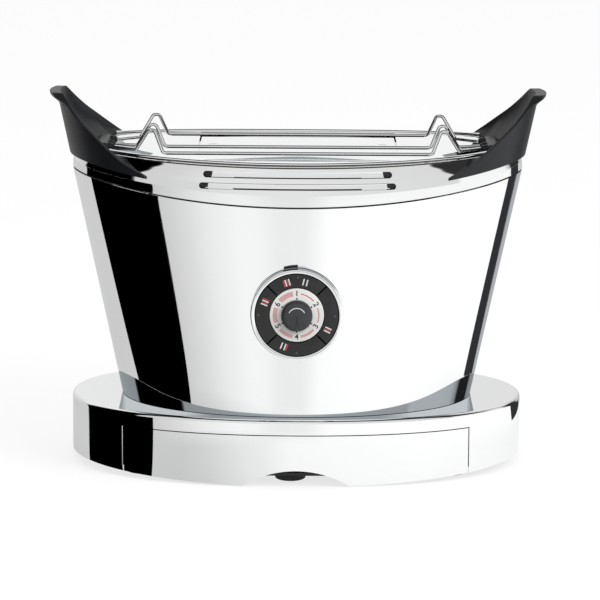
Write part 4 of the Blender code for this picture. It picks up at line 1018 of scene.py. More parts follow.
for side, place in ((-1, "front"), (1, "back")):
    outer = SHELL_WALL + INSERT_SETBACK
    levels = [level / INSERT_LEVELS for level in range(INSERT_LEVELS + 1)]
    shares = [mix(INSERT_LOW_SHARE, INSERT_HIGH_SHARE, level) for level in levels]

    def plate_ring(turn, side=side, shares=shares, outer=outer):
        front = [cover_point(side * turn, share, outer) for share in shares]
        inner = outer + INSERT_THICKNESS
        return front + [cover_point(side * turn, share, inner) for share in reversed(shares)]

    plate = cover_strip(f"louvre_plate_{place}", INSERT_HALF_LENGTH, plate_ring)
    finish_piece(plate, bright_steel, "housing", [f"vent_insert_{place}"])
    for row, (height, half_length) in enumerate(VENT_ROWS):

        def blade_ring(turn, side=side, height=height):
            spot = cover_point(side * turn, 0.5)
            share = cover_share(height, spot.x)
            outside, inside = SHELL_WALL + GAP, SHELL_WALL + INSERT_SETBACK - GAP
            low = cover_point(side * turn, share, outside) - Vector((0, 0, BLADE_DROP))
            high = cover_point(side * turn, share, inside) + Vector((0, 0, BLADE_LIFT))
            thick = Vector((0, 0, BLADE_THICKNESS))
            return [low, high, high + thick, low + thick]

        blade = cover_strip(f"louvre_blade_{place}_{row}", half_length - BLADE_END_SPACE, blade_ring)
        finish_piece(blade, bright_steel, "housing")
        for end in (-1, 1):
            edges = sorted((end * (half_length + GAP), end * (half_length - BLADE_END_SPACE + GAP)))
            rings = []
            for x in edges:
                depths = []
                for inset in (SHELL_WALL + GAP, SHELL_WALL + INSERT_SETBACK - GAP):
                    lean = smooth_table(COVER_LEAN_SHARES, cover_share(height, x))
                    long_reach = mix(SEAM_HALF_LENGTH, RIM_HALF_LENGTH, lean) - inset
                    deep_reach = mix(SEAM_HALF_DEPTH, RIM_HALF_DEPTH, lean) - inset
                    depths.append(side * plan_depth(long_reach, deep_reach, BODY_PLAN_POWER, x))
                near, far = depths
                low, high = height - VENT_OPENING / 2 - GAP, height + VENT_OPENING / 2 + GAP
                corners = ((near, low), (far, low), (far, high), (near, high))
                rings.append([Vector((x, y, z)) for y, z in corners])
            clip = loft(f"louvre_clip_{place}_{row}_{'left' if end < 0 else 'right'}", rings)
            finish_piece(clip, satin_black, "housing")
    # A thin near-black bar along the middle of each slot's lower edge is painted shadow in the gap under the
    # blade.
    for row, (height, half_length) in enumerate(VENT_ROWS):
        points = []
        start = plan_turn(RIM_HALF_LENGTH, BODY_PLAN_POWER, VENT_SHADOW_HALF_LENGTH)
        for step in range(INSERT_STEPS + 1):
            turn = side * mix(start, math.pi - start, step / INSERT_STEPS)
            spot = cover_point(turn, 0.5)
            low = height - VENT_OPENING / 2 + VENT_SHADOW_RADIUS
            points.append(cover_point(turn, cover_share(low, spot.x), SHELL_WALL / 2))
        vent_shadow = swept(f"vent_lip_{place}_{row}", shadow_line_tree, points, VENT_SHADOW_RADIUS)
        finish_piece(vent_shadow, None, "housing")
print("louvres:", len(VENT_ROWS) * 2, "blades with a clip at each end and a dark lip below")

# %% [markdown]
# ## The round control
#
# A bright double ring frames four push buttons. They are quarter segments of gloss black plastic
# split at 45 degrees, each on its own body so that it can be pressed. Small printed bars mark them.
# Inside lies a white disc with the numbers 1 to 6, and the knob turns over it.

# %% Bezel and buttons
BEZEL_WALL, BEZEL_FACE_Y, BEZEL_FLANGE_RADIUS = 0.0031, -0.1046, 0.037
BEZEL_FLANGE_Y, BEZEL_FLANGE_BACK_Y, BEZEL_EDGE, BEZEL_GROOVE = -0.0921, -0.0907, 0.0009, 0.0006
BUTTON_INNER_RADIUS, BUTTON_FACE_Y, BUTTON_BACK_Y, BUTTON_SPLIT = 0.0198, -0.1042, -0.0950, 0.0008
BUTTON_STEPS, BUTTON_EDGE = 40, 0.0004
SHADE_MARK_WIDTH, SHADE_MARK_START, SHADE_MARK_END, SHADE_MARK_DEPTH = 0.0016, -17, 1, 0.004
dial_centre = (0, 0, DIAL_HEIGHT)

inner = BEZEL_RADIUS - BEZEL_WALL
profile = [(inner, BEZEL_FLANGE_BACK_Y), (inner, BEZEL_FACE_Y + BEZEL_EDGE)]
for step in range(1, EDGE_STEPS + 1):
    turn = math.pi * step / EDGE_STEPS
    middle = inner + BEZEL_WALL / 2
    groove = BEZEL_GROOVE if step == EDGE_STEPS // 2 else 0
    depth = BEZEL_FACE_Y + BEZEL_EDGE * (1 - math.sin(turn)) + groove
    profile.append((middle - BEZEL_WALL / 2 * math.cos(turn), depth))
profile += [(BEZEL_RADIUS, BEZEL_FLANGE_Y), (BEZEL_FLANGE_RADIUS, BEZEL_FLANGE_Y)]
profile.append((BEZEL_FLANGE_RADIUS, BEZEL_FLANGE_BACK_Y))
bezel = turned("bezel_ring", profile, dial_centre, closed=True)
finish_piece(bezel, polished_chrome, "housing", ["dial_bezel"])


def on_dial(radius, turn, depth):
    """A point on the control's face; the turn runs clockwise from the top, as on a clock."""
    return Vector((radius * math.sin(turn), depth, DIAL_HEIGHT + radius * math.cos(turn)))


def ring_part(name, radii, start, end, depths, steps=BUTTON_STEPS, split=0.0):
    """A piece of a flat ring between two turns, with a split of even width at its ends."""
    outline = []
    for radius, way in ((radii[1], 1), (radii[0], -1)):
        trim = math.asin(split / 2 / radius)
        turns = [mix(start + trim, end - trim, step / steps) for step in range(steps + 1)]
        outline += [(radius, turn) for turn in (turns if way > 0 else reversed(turns))]
    return loft(name, [[on_dial(radius, turn, depth) for radius, turn in outline] for depth in depths])


buttons = (("top", 0), ("right", QUARTER), ("bottom", 2 * QUARTER), ("left", 3 * QUARTER))
for place, middle in buttons:
    radii = (BUTTON_INNER_RADIUS, inner - GAP)
    segment = ring_part(
        f"segment_{place}",
        radii,
        middle - QUARTER / 2,
        middle + QUARTER / 2,
        (BUTTON_FACE_Y, BUTTON_BACK_Y),
        split=BUTTON_SPLIT,
    )
    segment = rounded_off(segment, BUTTON_EDGE, segments=3)
    finish_piece(segment, button_black, f"button_{place}", [f"button_{place}"])
# A short black arc on the top edge of the bezel is painted shade.
bezel_shade = ring_part(
    "bezel_painted_shade",
    (BEZEL_RADIUS - SHADE_MARK_WIDTH / 2, BEZEL_RADIUS + SHADE_MARK_WIDTH / 2),
    math.radians(SHADE_MARK_START),
    math.radians(SHADE_MARK_END),
    (BEZEL_FACE_Y + BEZEL_EDGE / 2, BEZEL_FACE_Y + SHADE_MARK_DEPTH),
    steps=12,
)
finish_piece(bezel_shade, button_black, "housing")
print("bezel and", len(buttons), "buttons")

# %% [markdown]
# ## Marks on the buttons
#
# The buttons carry small printed bars in white and red, and a lamp each. Words on the real buttons are
# left out. Each bar is a thin patch that stands just proud of the plastic, like a thick ink.

# %% Marks on the buttons
PRINT_LIFT = 0.00006
BAR_LENGTH, BAR_WIDTH, BAR_SPACING, BAR_RADIUS = 0.0048, 0.0009, 0.0013, 0.0243
LAMP_RADIUS, LAMP_PLACE, LAMP_STEPS = 0.0007, 0.0272, 16
BAR_MARKS = (
    ("top", -17.3, ("red_ink", "white_ink", "red_ink", "white_ink")),
    ("top", 14.0, ("white_ink", None, "white_ink")),
    ("right", 115.5, ("white_ink", "red_ink", "white_ink")),
    ("bottom", 201.4, ("red_ink", "white_ink", None, "white_ink")),
    ("left", 292.7, ("white_ink", "red_ink", "white_ink", "red_ink")),
)
LAMP_MARKS = (("top", 1.5), ("right", 91), ("bottom", 180), ("left", 270))


def printed(name, outline, depth, material, body):
    """A thin printed patch from an outline of x and z on the control's face."""
    depths = (depth - PRINT_LIFT, depth + PRINT_LIFT)
    rings = [[Vector((x, y, DIAL_HEIGHT + z)) for x, z in outline] for y in depths]
    return finish_piece(loft(name, rings), material, body)


for i, (place, degrees, inks) in enumerate(BAR_MARKS):
    turn = math.radians(degrees)
    out, across = Vector((math.sin(turn), math.cos(turn))), Vector((math.cos(turn), -math.sin(turn)))
    for j, ink in enumerate(inks):
        if ink is None:
            continue
        middle = out * BAR_RADIUS + across * (j - (len(inks) - 1) / 2) * BAR_SPACING
        corners = [
            middle + out * a * BAR_LENGTH / 2 + across * b * BAR_WIDTH / 2
            for a, b in ((-1, -1), (-1, 1), (1, 1), (1, -1))
        ]
        outline = [tuple(corner) for corner in corners]
        printed(f"bar_mark_{i}_{j}", outline, BUTTON_FACE_Y, bpy.data.materials[ink], f"button_{place}")
for place, degrees in LAMP_MARKS:
    middle = on_dial(LAMP_PLACE, math.radians(degrees), BUTTON_FACE_Y)
    profile = [(LAMP_RADIUS, PRINT_LIFT), (LAMP_RADIUS, -PRINT_LIFT), (LAMP_RADIUS / 2, -2 * PRINT_LIFT)]
    finish_piece(turned(f"lamp_{place}", profile, middle, steps=LAMP_STEPS), lamp_lens, f"button_{place}")
print("marks:", len(BAR_MARKS), "groups of bars,", len(LAMP_MARKS), "lamps")

# %% [markdown]
# ## The numbered disc
#
# Six numbers stand at even steps round the disc, each beside a dot, and a band that widens from
# number to number shows more browning. The dots are copies of one small disc set round a circle by
# Geometry Nodes, which is how a repeating mark is best made.

# %% Disc, dots and numbers
FACE_HALF, FACE_BACK_Y, FACE_HOLE = 0.0192, -0.1030, 0.0034
DOT_RADIUS, DOT_CIRCLE, DIGIT_CIRCLE, DIGIT_SIZE = 0.0006, 0.012, 0.0156, 0.0056
ARC_MIDDLE, ARC_MARGIN, ARC_STEPS, DOT_STEPS = 0.0156, 10.5, 24, 20
ARC_WIDTHS = (0.0006, 0.0011, 0.0018, 0.0024, 0.003, 0.0036)
NUMBER_TURNS = ((1, 0), (2, 60), (3, 120), (4, 180), (5, 240), (6, 300))
DISC_EDGE, DIGIT_WEIGHT = 0.0003, 0.0001

profile = [
    (FACE_HOLE, BUTTON_FACE_Y),
    (FACE_HALF - DISC_EDGE, BUTTON_FACE_Y),
    (FACE_HALF, BUTTON_FACE_Y + DISC_EDGE),
    (FACE_HALF, FACE_BACK_Y),
    (FACE_HOLE, FACE_BACK_Y),
]
disc = turned("number_disc", profile, dial_centre, closed=True)
finish_piece(disc, dial_white, "housing", ["dial_face"])

DOT_SIZES = [("Count", "Int"), ("Circle", "Float"), ("Dot", "Float")]
dot_tree, asked = start_tree("dots_round_a_circle", DOT_SIZES)
circle = add(dot_tree, "GeometryNodeMeshCircle", {"Vertices": asked["Count"], "Radius": asked["Circle"]})
dot_size = {"Vertices": DOT_STEPS, "Radius": asked["Dot"], "Depth": 2 * PRINT_LIFT}
dot = add(dot_tree, "GeometryNodeMeshCylinder", dot_size).outputs["Mesh"]
dots = add(dot_tree, "GeometryNodeInstanceOnPoints", {"Points": circle.outputs[0], "Instance": dot})
end_tree(dot_tree, dots.outputs[0], black_ink)
dots = grown("disc_dots", dot_tree, {"Count": len(NUMBER_TURNS), "Circle": DOT_CIRCLE, "Dot": DOT_RADIUS})
upright = Matrix.Translation(Vector((0, BUTTON_FACE_Y, DIAL_HEIGHT))) @ Matrix.Rotation(QUARTER, 4, "X")
dots.data.transform(upright @ Matrix.Rotation(QUARTER, 4, "Z"))
finish_piece(outward(dots), None, "housing")

for number, degrees in NUMBER_TURNS:
    letter = bpy.data.curves.new(f"number_{number}", "FONT")
    letter.body = str(number)
    letter.size, letter.extrude, letter.offset = DIGIT_SIZE, PRINT_LIFT, DIGIT_WEIGHT
    letter.align_x = letter.align_y = "CENTER"
    holder = bpy.data.objects.new(f"number_{number}_text", letter)
    bpy.context.scene.collection.objects.link(holder)
    graph = bpy.context.evaluated_depsgraph_get()
    mesh = bpy.data.meshes.new_from_object(holder.evaluated_get(graph))
    bpy.data.objects.remove(holder, do_unlink=True)
    turn = math.radians(degrees)
    flipped = 0 if number in (1, 2, 6) else math.pi
    lean = Matrix.Rotation(turn + flipped, 4, "Y")
    stand = lean @ Matrix.Rotation(QUARTER, 4, "X")
    mesh.transform(Matrix.Translation(on_dial(DIGIT_CIRCLE, turn, BUTTON_FACE_Y)) @ stand)
    finish_piece(bpy.data.objects.new(f"number_{number}", mesh), black_ink, "housing")

for i, width in enumerate(ARC_WIDTHS):
    between = 360 / len(ARC_WIDTHS)
    start, end = math.radians(between * i + ARC_MARGIN), math.radians(between * (i + 1) - ARC_MARGIN)
    radii = (ARC_MIDDLE - width / 2, ARC_MIDDLE + width / 2)
    depths = (BUTTON_FACE_Y - PRINT_LIFT, BUTTON_FACE_Y + PRINT_LIFT)
    arc = ring_part(f"browning_arc_{i + 1}", radii, start, end, depths, steps=ARC_STEPS)
    finish_piece(arc, red_ink if i == 0 else rose_ink, "housing")
print("disc:", len(NUMBER_TURNS), "numbers, dots and bands")

# %% [markdown]
# ## The knob
#
# The knob is a turned crown of dark plastic with a pointer groove from its centre to its edge and a
# printed arc. A bore in its back takes the shaft of the timer.

# %% Knob
KNOB_RADIUS, KNOB_BACK_Y, KNOB_FRONT_Y, KNOB_RIM_DEPTH = 0.01115, -0.1045, -0.111, 0.0028
KNOB_CROWN_SHARES = ((0.0, 1.0), (0.2, 1.0), (0.5, 0.92), (0.76, 0.74), (0.93, 0.42), (1.0, 0.0))
KNOB_LEVELS, POINTER_WIDTH, POINTER_DEPTH, SHAFT_RADIUS, BORE_DEPTH = 20, 0.0017, 0.0011, 0.0029, 0.004
MARK_RADIUS, MARK_WIDTH, MARK_SPREAD, MARK_STEPS = 0.0062, 0.0006, 62, 30

crown_back = KNOB_BACK_Y - KNOB_RIM_DEPTH
profile = [(KNOB_RADIUS - DISC_EDGE, KNOB_BACK_Y), (KNOB_RADIUS, KNOB_BACK_Y - DISC_EDGE)]
for level in range(KNOB_LEVELS):
    share = math.cos(QUARTER * level / KNOB_LEVELS)
    depth = mix(crown_back, KNOB_FRONT_Y, smooth_table(KNOB_CROWN_SHARES, share))
    profile.append((KNOB_RADIUS * share, depth))
head = cut(
    turned("knob_head", profile, dial_centre),
    turned(
        "bore",
        [(SHAFT_RADIUS + GAP, KNOB_BACK_Y - BORE_DEPTH), (SHAFT_RADIUS + GAP, KNOB_BACK_Y + OVERRUN)],
        dial_centre,
    ),
    block(
        "groove",
        (-POINTER_WIDTH / 2, KNOB_FRONT_Y - OVERRUN, DIAL_HEIGHT - KNOB_RADIUS - OVERRUN),
        (POINTER_WIDTH / 2, KNOB_FRONT_Y + POINTER_DEPTH, DIAL_HEIGHT),
    ),
)
finish_piece(head, knob_grey, "knob", ["knob"])
mark_depth = mix(crown_back, KNOB_FRONT_Y, smooth_table(KNOB_CROWN_SHARES, MARK_RADIUS / KNOB_RADIUS))
spread = math.radians(MARK_SPREAD)
radii = (MARK_RADIUS - MARK_WIDTH / 2, MARK_RADIUS + MARK_WIDTH / 2)
depths = (mark_depth - PRINT_LIFT * 2, mark_depth + PRINT_LIFT * 2)
mark = ring_part("knob_mark", radii, -spread, spread, depths, steps=MARK_STEPS)
finish_piece(mark, white_ink, "knob")
print("knob with its groove and arc mark")

# %% [markdown]
# ## Feet, gland and the parts inside
#
# Rubber feet stand under the bottom plate and a cord gland sits in the back wall. The parts inside
# keep their solid shapes and only get their real finishes: steel, mica, circuit board and plastic.

# %% Feet and gland
FOOT_RADIUS, FOOT_WAIST, FOOT_TOP, FOOT_ROUNDING = 0.011, 0.009, 0.0079, 0.0014
FEET = (
    ("foot_front_left", -0.112, -0.056),
    ("foot_front_right", 0.112, -0.056),
    ("foot_back_left", -0.112, 0.056),
    ("foot_back_right", 0.112, 0.056),
    ("foot_front_middle", -0.004, -0.076),
)
GLAND_WALL, GLAND_END, GLAND_INSIDE = BASE_HALF_DEPTH + GAP, BASE_HALF_DEPTH + 0.0055, 0.0975
GLAND_FLANGE_RADIUS, GLAND_FLANGE, GLAND_BORE = 0.0092, 0.0022, 0.0036

for name, x, y in FEET:
    profile = [(FOOT_WAIST, 0)]
    for step in range(EDGE_STEPS + 1):
        turn = QUARTER * step / EDGE_STEPS
        rise = FOOT_ROUNDING * (1 - math.cos(turn)) + GAP / 2
        profile.append((mix(FOOT_WAIST, FOOT_RADIUS, math.sin(turn)), rise))
    profile.append((FOOT_RADIUS, FOOT_TOP))
    foot = turned(f"{name}_pad", profile, (x, y, 0), axis="Z", steps=48)
    finish_piece(foot, foot_rubber, "housing", [name])
profile = [
    (GLAND_BORE, GLAND_INSIDE),
    (GLAND_RADIUS, GLAND_INSIDE),
    (GLAND_RADIUS, GLAND_WALL),
    (GLAND_FLANGE_RADIUS - GAP, GLAND_WALL),
    (GLAND_FLANGE_RADIUS, GLAND_WALL + GAP),
    (GLAND_FLANGE_RADIUS, GLAND_WALL + GLAND_FLANGE - GAP),
    (GLAND_FLANGE_RADIUS - GAP, GLAND_WALL + GLAND_FLANGE),
    (GLAND_RADIUS, GLAND_END),
    (GLAND_BORE, GLAND_END),
]
gland = turned("gland_sleeve", profile, (0, 0, GLAND_HEIGHT), closed=True, steps=64)
finish_piece(gland, satin_black, "housing", ["cord_gland"])
print("feet:", len(FEET), "and one gland")

# %% [markdown]
# ## Heating wire
#
# Inside the slots flat wire winds round the mica cards. The winding is one run of wire repeated down
# the card, so a Geometry Nodes tree copies it at an even pitch.

# %% Heating wire on the cards
CARD_PLACES = (("front", -0.0465, (1, -1)), ("middle", 0.0, (-1, 1)), ("back", 0.0465, (1, -1)))
CARD_LOW, CARD_HIGH, CARD_HALF, CARD_LENGTH = 0.074, 0.190, 0.0005, 0.098
WINDING_ROWS, RIBBON_WIDTH, RIBBON_THICKNESS = 18, 0.0012, 0.0002

WINDING_LENGTHS = ("Length", "Low", "High", "Width", "Thickness")
WINDING_SIZES = [("Rows", "Int")] + [(label, "Float") for label in WINDING_LENGTHS]
winding_tree, asked = start_tree("heater_winding", WINDING_SIZES)
pitch = calc(
    winding_tree,
    "DIVIDE",
    calc(winding_tree, "SUBTRACT", asked["High"], asked["Low"]),
    calc(winding_tree, "SUBTRACT", asked["Rows"], 1),
)
start_at = add(winding_tree, "ShaderNodeCombineXYZ", {"Z": asked["Low"]})
step_by = add(winding_tree, "ShaderNodeCombineXYZ", {"Z": pitch})
ladder = add(
    winding_tree,
    "GeometryNodeMeshLine",
    {"Count": asked["Rows"], "Start Location": start_at.outputs[0], "Offset": step_by.outputs[0]},
)
lengths = {"X": asked["Length"], "Y": asked["Thickness"], "Z": asked["Width"]}
ribbon_size = add(winding_tree, "ShaderNodeCombineXYZ", lengths)
ribbon = add(winding_tree, "GeometryNodeMeshCube", {"Size": ribbon_size.outputs[0]})
runs = {"Points": ladder.outputs[0], "Instance": ribbon.outputs["Mesh"]}
rows = add(winding_tree, "GeometryNodeInstanceOnPoints", runs)
end_tree(winding_tree, rows.outputs[0], heater_wire)
for place, y, faces in CARD_PLACES:
    for face in faces:
        sizes = {
            "Rows": WINDING_ROWS,
            "Length": 2 * CARD_LENGTH,
            "Low": CARD_LOW,
            "High": CARD_HIGH,
            "Width": RIBBON_WIDTH,
            "Thickness": RIBBON_THICKNESS,
        }
        winding = grown(f"winding_{place}_{'out' if face > 0 else 'in'}", winding_tree, sizes)
        winding.data.transform(Matrix.Translation((0, y + face * (CARD_HALF + RIBBON_THICKNESS / 2), 0)))
        finish_piece(winding, None, "housing")
print("windings:", len(CARD_PLACES) * 2, "of", WINDING_ROWS, "rows")

# %% [markdown]
# ## Parts that stay as they are
#
# The plain inner parts of the engineering model are shown as they are. They only get a finish: brushed
# steel for sheet metal, mica for the cards, green for the boards.

# %% Finishes of the solid parts that stay
STAY_FINISHES = {
    "black_plastic": satin_black,
    "gloss_black": button_black,
    "dark_grey": louvre_grey,
    "rubber": foot_rubber,
    "mica": mica_board,
    "board": board_green,
    "chrome": polished_chrome,
    "wire_steel": wire_chrome,
    "dial_cream": dial_white,
}
BRIGHT_SOLIDS = ("slot_deck",)
dressed = 0
for row in frame["record"]["subparts"]:
    solid = nodes.get(row["node"])
    if solid is None:
        continue
    solid.data.materials.clear()
    usual = STAY_FINISHES.get(row["material_slot"], sheet_steel)
    solid.data.materials.append(bright_steel if row["node"] in BRIGHT_SOLIDS else usual)
    dressed += 1
print("finishes given to", dressed, "solid parts")

# %% [markdown]
# ## Studio
#
# Chrome is lit by what stands round it. The floor is white, but in the mirror it is a little grey in
# front and brighter to the right. A dome round it all and a few cards, which only reflections see,
# give the black band at the left, the dark wedge at the right and the shades under the rack's wires.
# The dome is dimmer for a ray that has bounced before, so doubled reflections turn blue grey. All of
# this is set for the view of the photograph.

# %% Floor that mirrors see as a soft gradient
FLOOR_RADIUS, FLOOR_SHARE, FLOOR_DIFFUSE = 19.0, 0.76, 0.25
NEAR_RADIUS, FAR_RADIUS = 0.24, 0.32
NEAR_LEVELS = (
    (-180, 0.8), (-120, 0.66), (-48, 0.6), (-39, 0.6), (-31, 0.65), (-24, 0.72), (-17, 0.8),
    (-10, 0.85), (-2, 0.95), (12, 0.97), (45, 1.0), (120, 0.9), (180, 0.8),
)
FAR_LEVELS = (
    (-180, 0.64), (-50, 0.62), (-38, 0.73), (-30, 0.83), (-18, 0.92), (-12, 0.91), (-5, 0.83),
    (2, 0.83), (9, 0.97), (30, 1.0), (110, 1.0), (150, 0.6), (180, 0.64),
)


def linked(thing):
    bpy.context.scene.collection.objects.link(thing)
    return thing


def bare_material(name):
    material = bpy.data.materials.new(name)
    material.use_nodes = True
    material.node_tree.nodes.clear()
    return material, material.node_tree, add(material.node_tree, "ShaderNodeOutputMaterial")


def mirror_share(tree):
    """Two shares: 1 for camera, glossy and transmission rays, and 1 for glossy rays alone."""
    seen = add(tree, "ShaderNodeLightPath").outputs
    clear = calc(tree, "MAXIMUM", seen["Is Camera Ray"], seen["Is Transmission Ray"])
    return calc(tree, "MAXIMUM", clear, seen["Is Glossy Ray"]), seen["Is Glossy Ray"]


def seen_from_above(tree):
    """The parts of the place, and its turn round the toaster: 0 and 1 behind, a half in front."""
    spot = add(tree, "ShaderNodeSeparateXYZ", {0: add(tree, "ShaderNodeTexCoord").outputs["Object"]}).outputs
    angle = calc(tree, "ARCTAN2", spot["X"], calc(tree, "MULTIPLY", spot["Y"], -1))
    return spot, calc(tree, "ADD", calc(tree, "DIVIDE", angle, TURN), 0.5)


def by_angle(tree, angle, levels):
    return ramp(tree, angle, [((degrees + 180) / 360, level) for degrees, level in levels])


shape = bmesh.new()
bmesh.ops.create_circle(shape, cap_ends=True, radius=FLOOR_RADIUS, segments=96)
floor = linked(mesh_thing("studio_floor", shape))
material, tree, end = bare_material("studio_floor")
floor.data.materials.append(material)
shown, glossy = mirror_share(tree)
spot, angle = seen_from_above(tree)
squares = calc(tree, "ADD", calc(tree, "POWER", spot["X"], 2), calc(tree, "POWER", spot["Y"], 2))
radius = calc(tree, "SQRT", squares)
reach = add(tree, "ShaderNodeMapRange", {"Value": radius, "From Min": NEAR_RADIUS, "From Max": FAR_RADIUS})
both = {0: reach.outputs[0], 6: by_angle(tree, angle, NEAR_LEVELS), 7: by_angle(tree, angle, FAR_LEVELS)}
mirrored = add(tree, "ShaderNodeMix", both, data_type="RGBA").outputs[2]
level = add(tree, "ShaderNodeMix", {0: glossy, 6: (1, 1, 1, 1), 7: mirrored}, data_type="RGBA").outputs[2]
strength = calc(tree, "MULTIPLY", shown, FLOOR_SHARE)
glow = add(tree, "ShaderNodeEmission", {"Color": level, "Strength": strength})
dimmed = add(tree, "ShaderNodeMix", {0: FLOOR_DIFFUSE, 6: (0, 0, 0, 1), 7: level}, data_type="RGBA")
matt = add(tree, "ShaderNodeBsdfDiffuse", {"Color": dimmed.outputs[2]})
total = add(tree, "ShaderNodeAddShader", {0: glow.outputs[0], 1: matt.outputs[0]})
tree.links.new(total.outputs[0], end.inputs["Surface"])
print("floor:", FLOOR_RADIUS, "m wide round the toaster")


# %% Dome and cards that only mirrors see
DOME_RADIUS = 20.0
DOME_LOW = (
    (-180, 0.8), (-174, 0.84), (-160, 0.74), (-117, 0.62), (-115, 0.0), (-62, 0.0), (-61, 0.64),
    (-45, 0.67), (-30, 0.72), (-15, 0.8), (0, 0.81), (15, 0.78), (45, 0.74), (60, 0.73), (61, 0.97),
    (95, 0.97), (108, 0.9), (116, 0.5), (119, 0.03), (142, 0.03), (146, 0.5), (165, 0.68),
    (174, 0.76), (180, 0.8),
)
DOME_HIGH = (
    (-180, 0.9), (-130, 0.85), (-117, 0.6), (-115, 0.0), (-62, 0.0), (-61, 0.66), (-45, 0.68),
    (-30, 0.78), (-15, 0.81), (0, 0.8), (30, 0.75), (59, 0.73), (61, 0.03), (96, 0.03), (110, 0.5),
    (150, 0.8), (180, 0.9),
)
DOME_SPLIT, DOME_CAP, DOME_TOP = (22, 30), (57, 61), (0.03, 0.03, 0.03, 1)
ROOM_LOW, ROOM_DIM, ROOM_HIGH = (0.58, 0.61, 0.63, 1), (0.42, 0.45, 0.47, 1), (1, 1, 1, 1)
ROOM_LOW_STEP, ROOM_DIM_STEP, FIRST_BOUNCE = (8, 11), (25, 31), 1.5


def only_in_mirrors(thing):
    thing.visible_camera = thing.visible_diffuse = thing.visible_shadow = thing.visible_transmission = False
    return thing


def height_step(tree, height, low, high):
    """0 below the first elevation in degrees and 1 above the second."""
    start, end = math.sin(math.radians(low)), math.sin(math.radians(high))
    span = {"Value": height, "From Min": start, "From Max": end}
    return add(tree, "ShaderNodeMapRange", span).outputs[0]


def colour_mix(tree, share, first, second, kind="MIX"):
    values = {0: share, 6: first, 7: second}
    return add(tree, "ShaderNodeMix", values, data_type="RGBA", blend_type=kind).outputs[2]


shape = bmesh.new()
bmesh.ops.create_uvsphere(shape, u_segments=96, v_segments=48, radius=DOME_RADIUS)
dome = only_in_mirrors(linked(mesh_thing("studio_dome", shape)))
material, tree, end = bare_material("studio_dome")
dome.data.materials.append(material)
spot, angle = seen_from_above(tree)
height = calc(tree, "DIVIDE", spot["Z"], DOME_RADIUS)
low, high = by_angle(tree, angle, DOME_LOW), by_angle(tree, angle, DOME_HIGH)
open_dome = colour_mix(tree, height_step(tree, height, *DOME_SPLIT), low, high)
first = colour_mix(tree, height_step(tree, height, *DOME_CAP), open_dome, DOME_TOP)
bounces = add(tree, "ShaderNodeLightPath").outputs["Glossy Depth"]
dim = colour_mix(tree, height_step(tree, height, *ROOM_DIM_STEP), ROOM_DIM, ROOM_HIGH)
later = colour_mix(tree, 1.0, open_dome, dim, "MULTIPLY")
later = colour_mix(tree, height_step(tree, height, *ROOM_LOW_STEP), ROOM_LOW, later)
bounced = calc(tree, "GREATER_THAN", bounces, FIRST_BOUNCE)
glow = add(tree, "ShaderNodeEmission", {"Color": colour_mix(tree, bounced, first, later)})
tree.links.new(glow.outputs[0], end.inputs["Surface"])


def card(name, corners, colour):
    shape = bmesh.new()
    shape.faces.new([shape.verts.new(corner) for corner in corners])
    thing = only_in_mirrors(linked(mesh_thing(name, shape, recalculate=False)))
    material, tree, end = bare_material(name)
    glow = add(tree, "ShaderNodeEmission", {"Color": (*colour, 1)})
    tree.links.new(glow.outputs[0], end.inputs["Surface"])
    thing.data.materials.append(material)


CARD_HEIGHT = 0.0006
CARDS = (
    ("black_flag", ((-0.1, -0.083), (-15, -12.2), (-15, 6.8), (-0.15, -0.05)), (0, 0, 0)),
    ("dark_wedge", ((0.27, 0.07), (13, 7.2), (9.5, 11.5), (0.23, 0.17)), (0.03, 0.032, 0.036)),
    ("grey_wedge", ((0.23, 0.17), (1.1, 1.05), (0.5, 1.5), (0.14, 0.27)), (0.42, 0.44, 0.46)),
)
for name, corners, colour in CARDS:
    card(name, [(x, y, CARD_HEIGHT) for x, y in corners], colour)
SHADE_HALF_LENGTH, SHADE_HALF_WIDTH, SHADE_DROP, SHADE_COLOUR = 0.094, 0.0034, 0.0024, (0, 0, 0)
GLOW_HALF_LENGTH, GLOW_FRONT, GLOW_BACK, GLOW_HEIGHT = 0.128, 0.06, 0.0885, 0.2082
GLOW_COLOUR = (0.95, 0.95, 0.95)


def strip_corners(half_length, front, back, height):
    corners = ((-half_length, front), (half_length, front), (half_length, back), (-half_length, back))
    return [(x, y, height) for x, y in corners]


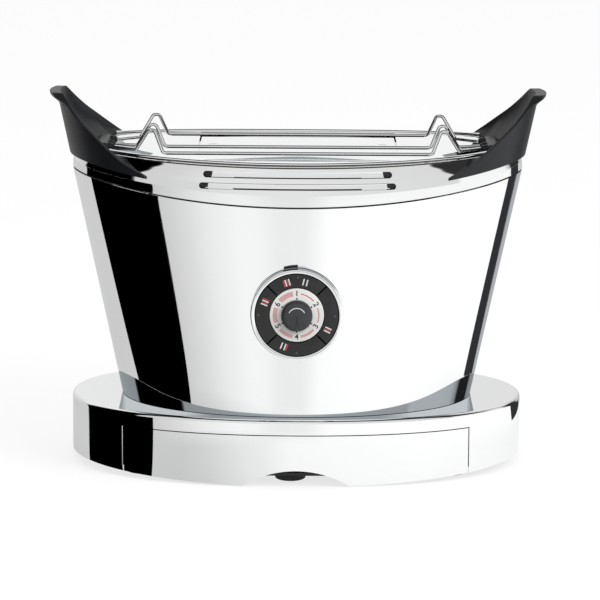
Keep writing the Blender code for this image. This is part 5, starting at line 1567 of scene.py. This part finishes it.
for place, row in RACK_ROWS:
    front, back = row * RACK_SPREAD - SHADE_HALF_WIDTH, row * RACK_SPREAD + SHADE_HALF_WIDTH
    corners = strip_corners(SHADE_HALF_LENGTH, front, back, RACK_HEIGHT - SHADE_DROP)
    card(f"wire_shade_{place}", corners, SHADE_COLOUR)
# The white card over the slot deck, seen only in mirrors, paints a bright reflection on the inside walls and
# under the wires.
card("inner_glow", strip_corners(GLOW_HALF_LENGTH, GLOW_FRONT, GLOW_BACK, GLOW_HEIGHT), GLOW_COLOUR)
print("dome and", len(CARDS) + len(RACK_ROWS) + 1, "cards")

# %% World, light and camera
WORLD_DIFFUSE = 0.85
KEY_PLACE, KEY_AIM, KEY_SIZE, KEY_ENERGY = (1.3, -1.1, 1.1), (0, 0, 0.15), (1.1, 1.1), 22
CAMERA_PLACE, CAMERA_AIM, CAMERA_LENS, CAMERA_ROLL = (0, -2.57, 0.594), (0.0023, 0, 0.1167), 212.94, 0.35
SENSOR_WIDTH = 36

scene = bpy.context.scene
scene.view_settings.view_transform = "Standard"
world = bpy.data.worlds.new("studio")
scene.world = world
world.use_nodes = True
tree = world.node_tree
shown, _ = mirror_share(tree)
level = add(tree, "ShaderNodeMix", {0: shown, 2: WORLD_DIFFUSE, 3: 1.0}, data_type="FLOAT")
tree.links.new(level.outputs[0], tree.nodes["Background"].inputs["Strength"])
tree.nodes["Background"].inputs["Color"].default_value = (1, 1, 1, 1)


def aimed(thing, place, target, roll=0.0):
    thing.location = place
    thing.rotation_mode = "QUATERNION"
    aim = (Vector(target) - Vector(place)).to_track_quat("-Z", "Y")
    thing.rotation_quaternion = aim @ Quaternion((0, 0, 1), math.radians(roll))
    scene.collection.objects.link(thing)


key = bpy.data.lights.new("key_light", "AREA")
key.shape, key.energy = "RECTANGLE", KEY_ENERGY
key.size, key.size_y = KEY_SIZE
lamp = bpy.data.objects.new("key_light", key)
lamp.visible_glossy = False
aimed(lamp, KEY_PLACE, KEY_AIM)

camera = bpy.data.cameras.new("camera")
camera.sensor_width, camera.lens = SENSOR_WIDTH, CAMERA_LENS
view = bpy.data.objects.new("camera", camera)
aimed(view, CAMERA_PLACE, CAMERA_AIM, CAMERA_ROLL)
scene.camera = view
print("camera", CAMERA_LENS, "mm")
